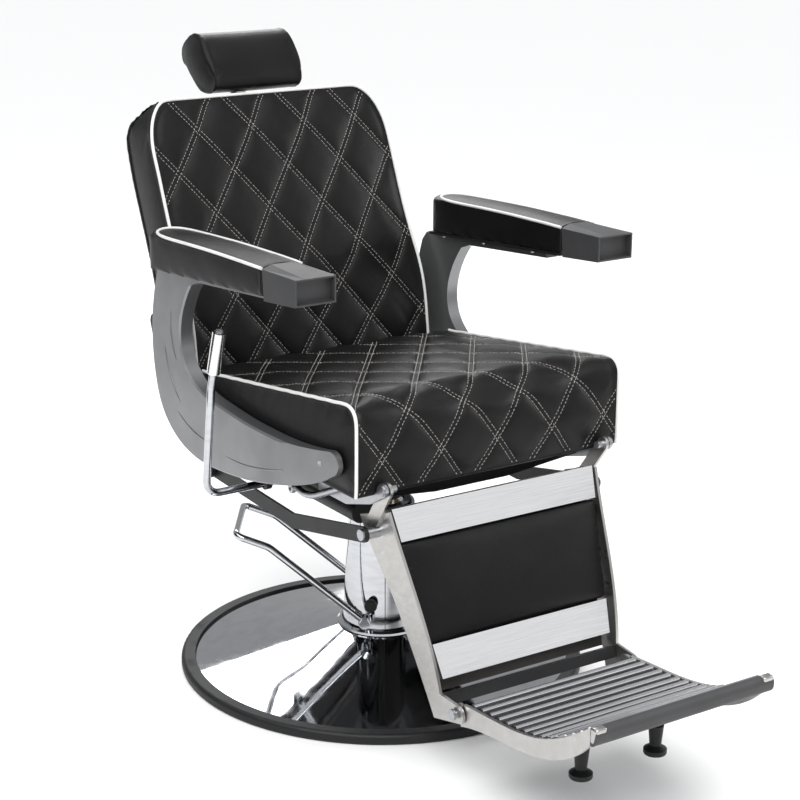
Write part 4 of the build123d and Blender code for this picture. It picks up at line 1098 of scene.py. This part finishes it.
def leg_soften(rows, normals):
    """Set the sides straight along the taper, and crown the front: thickest in the middle."""
    rows = rows.copy()
    middle = (leg_low[2] + leg_high[2]) / 2
    share_up = np.clip(np.abs(rows[:, 2] - middle) / ((leg_high[2] - leg_low[2]) / 2), 0, 1)
    down = np.clip((leg_high[2] - rows[:, 2]) / (leg_high[2] - leg_low[2]), 0, 1)
    half_width = leg_top_half + (leg_bottom_half - leg_top_half) * down + 0.0012
    beside = (np.abs(rows[:, 0]) > half_width - 0.010) & (np.abs(normals[:, 0]) > 0.4)
    rows[beside, 0] = np.sign(rows[beside, 0]) * half_width[beside]
    share_across = np.clip(np.abs(rows[:, 0]) / half_width, 0, 1)
    rise = leg_crown * (1 - share_up ** 4) * (1 - share_across ** 6) * (leg_lean(normals) > 0.6)
    return rows + rise[:, None] * np.array([0, leg_face[0], leg_face[1]])


leg_cover = stuff("leg_pad", "leg_cover", 0.005, 0.0, 0.004, leg_held, soften=leg_soften)
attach(leg_cover, "legrest")
bpy.data.objects.remove(stitch)

# %% [markdown]
# ## Armrest caps
# Each armrest ends in a dark moulded cap: a short box whose front is open, with a thin rim round
# a recess. Its top is faceted, because at the rear it has to meet the crown of the pad. It is
# shaped from a box: cut twice along its length, its middle raised at the rear, its front inset
# and pushed in, and all edges broken with a fine bevel.

# %% Picking faces by place
def pick_faces(piece, test):
    """In edit mode, select only the faces whose centre and normal pass the test."""
    shape = bmesh.from_edit_mesh(piece.data)
    for face in shape.faces:
        face.select_set(bool(test(face.calc_center_median(), face.normal)))
    bmesh.update_edit_mesh(piece.data)


def box_between(name, low, high):
    """A box primitive stretched between two corners, its object left at the origin."""
    deselect_all()
    bpy.ops.mesh.primitive_cube_add(size=1)
    piece = bpy.context.object
    piece.name = name
    low, high = np.array(low), np.array(high)
    move_points(piece, (low + high) / 2 + points_of(piece) * (high - low))
    return piece


# %% Two caps
cap_low, cap_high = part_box("arm_caps")
cap_under_front = cap_low[2] + 0.0084
cap_top_front = 0.770
cap_crown = 0.006


def arm_cap(side):
    """One faceted cap with a recessed front."""
    sign = 1 if side == "left" else -1
    inner, outer = arm_inner + 0.001, cap_high[0]
    piece = box_between(f"arm_cap_{side}", (inner, cap_low[1], cap_low[2]),
                        (outer, cap_high[1], cap_top_front))
    rows = points_of(piece)
    front = rows[:, 1] < cap_low[1] + 0.001
    rows[front & (rows[:, 2] < cap_low[2] + 0.001), 2] = cap_under_front
    rows[~front & (rows[:, 2] > cap_low[2] + 0.01), 2] = cap_top_front - 0.002
    rows[~front & (rows[:, 2] < cap_low[2] + 0.001), 1] -= 0.004
    move_points(piece, rows)
    bpy.ops.object.mode_set(mode="EDIT")
    for cut in (inner + 0.016, outer - 0.016):
        bpy.ops.mesh.select_all(action="SELECT")
        bpy.ops.mesh.bisect(plane_co=(cut, 0, 0), plane_no=(1, 0, 0))
    bpy.ops.object.mode_set(mode="OBJECT")
    rows = points_of(piece)
    middle = (rows[:, 0] > inner + 0.01) & (rows[:, 0] < outer - 0.01)
    rear_top = (rows[:, 1] > cap_high[1] - 0.01) & (rows[:, 2] > cap_top_front - 0.01)
    rows[middle & rear_top, 2] += cap_crown
    move_points(piece, rows)
    bpy.ops.object.mode_set(mode="EDIT")
    bpy.ops.mesh.select_mode(type="FACE")
    pick_faces(piece, lambda centre, normal: normal.y < -0.9)
    bpy.ops.mesh.inset(thickness=0.0028, depth=0)
    bpy.ops.mesh.extrude_region_move(TRANSFORM_OT_translate={"value": (0, 0.014, 0)})
    bpy.ops.mesh.select_all(action="DESELECT")
    bpy.ops.object.mode_set(mode="OBJECT")
    rows = points_of(piece)
    rows[:, 0] *= sign
    move_points(piece, rows)
    bpy.ops.object.mode_set(mode="EDIT")
    bpy.ops.mesh.select_all(action="SELECT")
    bpy.ops.mesh.quads_convert_to_tris()
    bpy.ops.mesh.normals_make_consistent(inside=False)
    bpy.ops.object.mode_set(mode="OBJECT")
    apply_modifier(piece, "BEVEL", width=0.0007, segments=2, limit_method="ANGLE",
                   angle_limit=math.radians(14))
    dress(piece, "cap_grey")
    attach(piece, "seat")
    return piece


arm_cap_pieces = [arm_cap(side) for side in ("left", "right")]
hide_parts("arm_caps")
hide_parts("arm_caps")
print("each cap has", len(arm_cap_pieces[0].data.polygons), "faces")

# %% [markdown]
# ## Relief on the castings
# The castings carry long shallow relief lines that follow the sweep of the arm, a device that
# hides how flat a big casting is. Each line is a fine ridge that rises out of the face and dies
# away at both ends, so it is swept along a curve that starts and ends below the surface.

# %% Ridges on the outer face
casting_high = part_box("arm_casting_left")[1]
relief_curves = (
    ((0.212, 0.625), (0.219, 0.600), (0.214, 0.565), (0.196, 0.532)),
    ((0.240, 0.560), (0.234, 0.525), (0.214, 0.492), (0.184, 0.462)),
    ((0.203, 0.450), (0.168, 0.432), (0.126, 0.422), (0.080, 0.420)),
    ((0.040, 0.412), (-0.030, 0.414), (-0.105, 0.428), (-0.150, 0.441)),
)


def relief_line(curve, sign):
    """Closely spaced points of one ridge, sunk at its ends."""
    rows = even_steps([(0, y, z) for y, z in curve], 0.004)
    rows = relax(rows, 40)
    share = np.linspace(0, 1, len(rows))
    rows[:, 0] = sign * (casting_high[0] - 0.0024 + 0.0016 * np.sin(share * math.pi) ** 0.5)
    return rows


for side, sign in (("left", 1), ("right", -1)):
    for number, curve in enumerate(relief_curves, start=1):
        ridge = cord_along(f"relief_{side}_{number}", relief_line(curve, sign), 0.0021,
                           "satin_casting", "seat")

# %% [markdown]
# ## The footplate's edge
# The footplate curls up into a dark nosing, with a metal clip folded round each end and a
# strip of fine cross ridges behind it, where the sitter's heel grips. One ridge is modelled and
# copied across.

# %% Nosing clips
nose_low, nose_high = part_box("foot_nose")
clip_width = 0.020


def nose_clip(sign):
    """A metal clip folded round the end of the nosing."""
    inner, outer = sorted((sign * (nose_high[0] - clip_width), sign * (nose_high[0] + 0.0006)))
    piece = box_between("nose_clip_left" if sign > 0 else "nose_clip_right",
                        (inner, nose_low[1] - 0.0005, nose_low[2] + 0.0040),
                        (outer, nose_high[1] + 0.0010, nose_high[2] + 0.0006))
    rows = points_of(piece)
    front_foot = (rows[:, 1] < nose_low[1]) & (rows[:, 2] < nose_low[2] + 0.005)
    rows[front_foot, 1] += 0.006
    move_points(piece, rows)
    apply_modifier(piece, "BEVEL", width=0.0035, segments=3, limit_method="ANGLE",
                   angle_limit=math.radians(40))
    bpy.ops.object.shade_smooth_by_angle(angle=math.radians(40))
    dress(piece, "leg_aluminium")
    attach(piece, "footplate")


for sign in (1, -1):
    nose_clip(sign)

# %% Grip ridges
ridge_pitch = 0.0042
ridge_rise = math.radians(33.5)
ridge_model = box_between("ridge_model", (-0.0008, -0.0062, 0), (0.0008, 0.0062, 0.0016))
apply_modifier(ridge_model, "BEVEL", width=0.0005, segments=1)
tread_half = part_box("foot_ribs")[1][0] - 0.002
ridge_spots = np.arange(-tread_half, tread_half, ridge_pitch)
ridge_turn = Matrix.Rotation(-ridge_rise, 4, "X")
ridges = gather("grip_ridges", ridge_model,
                [Matrix.Translation((x, -0.7690, 0.2148)) @ ridge_turn for x in ridge_spots],
                "polished_aluminium", "footplate")
bpy.data.objects.remove(ridge_model)

# %% [markdown]
# ## Small fittings
# A curved bar hangs below the seat on the sitter's right and carries a bolt at its rear end; each
# casting has a small screw near its tip; and the column's cover is a rolled sheet whose two edges
# meet in a fine seam that runs down to the pedal's stop.

# %% Bar, screws and seam
bar_path = even_steps([(-0.236, -0.106, 0.392), (-0.238, -0.135, 0.388), (-0.238, -0.165, 0.394),
                       (-0.236, -0.200, 0.410), (-0.232, -0.238, 0.428)], 0.004)
bar = cord_along("side_bar", relax(bar_path, 6), 0.0058, "machined_steel", "seat", sides=6)


def round_head(name, centre, facing, radius, height, finish, body):
    """A round screw head with a sunk middle, facing a direction."""
    deselect_all()
    bpy.ops.mesh.primitive_cylinder_add(vertices=24, radius=radius, depth=height)
    piece = bpy.context.object
    piece.name = name
    bpy.ops.object.mode_set(mode="EDIT")
    bpy.ops.mesh.select_mode(type="FACE")
    pick_faces(piece, lambda spot, normal: normal.z > 0.9)
    bpy.ops.mesh.inset(thickness=radius * 0.45, depth=0)
    bpy.ops.mesh.inset(thickness=radius * 0.12, depth=-height * 0.35)
    bpy.ops.mesh.select_all(action="DESELECT")
    bpy.ops.object.mode_set(mode="OBJECT")
    apply_modifier(piece, "BEVEL", width=radius * 0.12, segments=2, limit_method="ANGLE",
                   angle_limit=math.radians(40))
    turn = Vector(facing).to_track_quat("Z", "Y").to_matrix().to_4x4()
    piece.data.transform(Matrix.Translation(centre) @ turn)
    dress(piece, finish)
    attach(piece, body)


round_head("side_bar_bolt", (-0.243, -0.106, 0.392), (-1, 0.2, 0), 0.010, 0.008, "machined_steel", "seat")
for side, sign in (("left", 1), ("right", -1)):
    round_head(f"tip_screw_{side}", (sign * 0.2757, -0.245, 0.478), (sign, -0.14, 0), 0.0045, 0.003,
               "machined_steel", "seat")

seam_turn = math.radians(-118)
cover_foot_radius = 0.0681
cover_taper = 0.010
cover_foot = 0.074
cover_height = 0.212
seam_rows = []
for height in np.arange(0.080, 0.284, 0.004):
    reach = cover_foot_radius - cover_taper * (height - cover_foot) / cover_height
    seam_rows.append((reach * math.cos(seam_turn), reach * math.sin(seam_turn), height))
cord_along("column_seam", np.array(seam_rows), 0.0006, "black_steel", "base")
print("fittings placed")
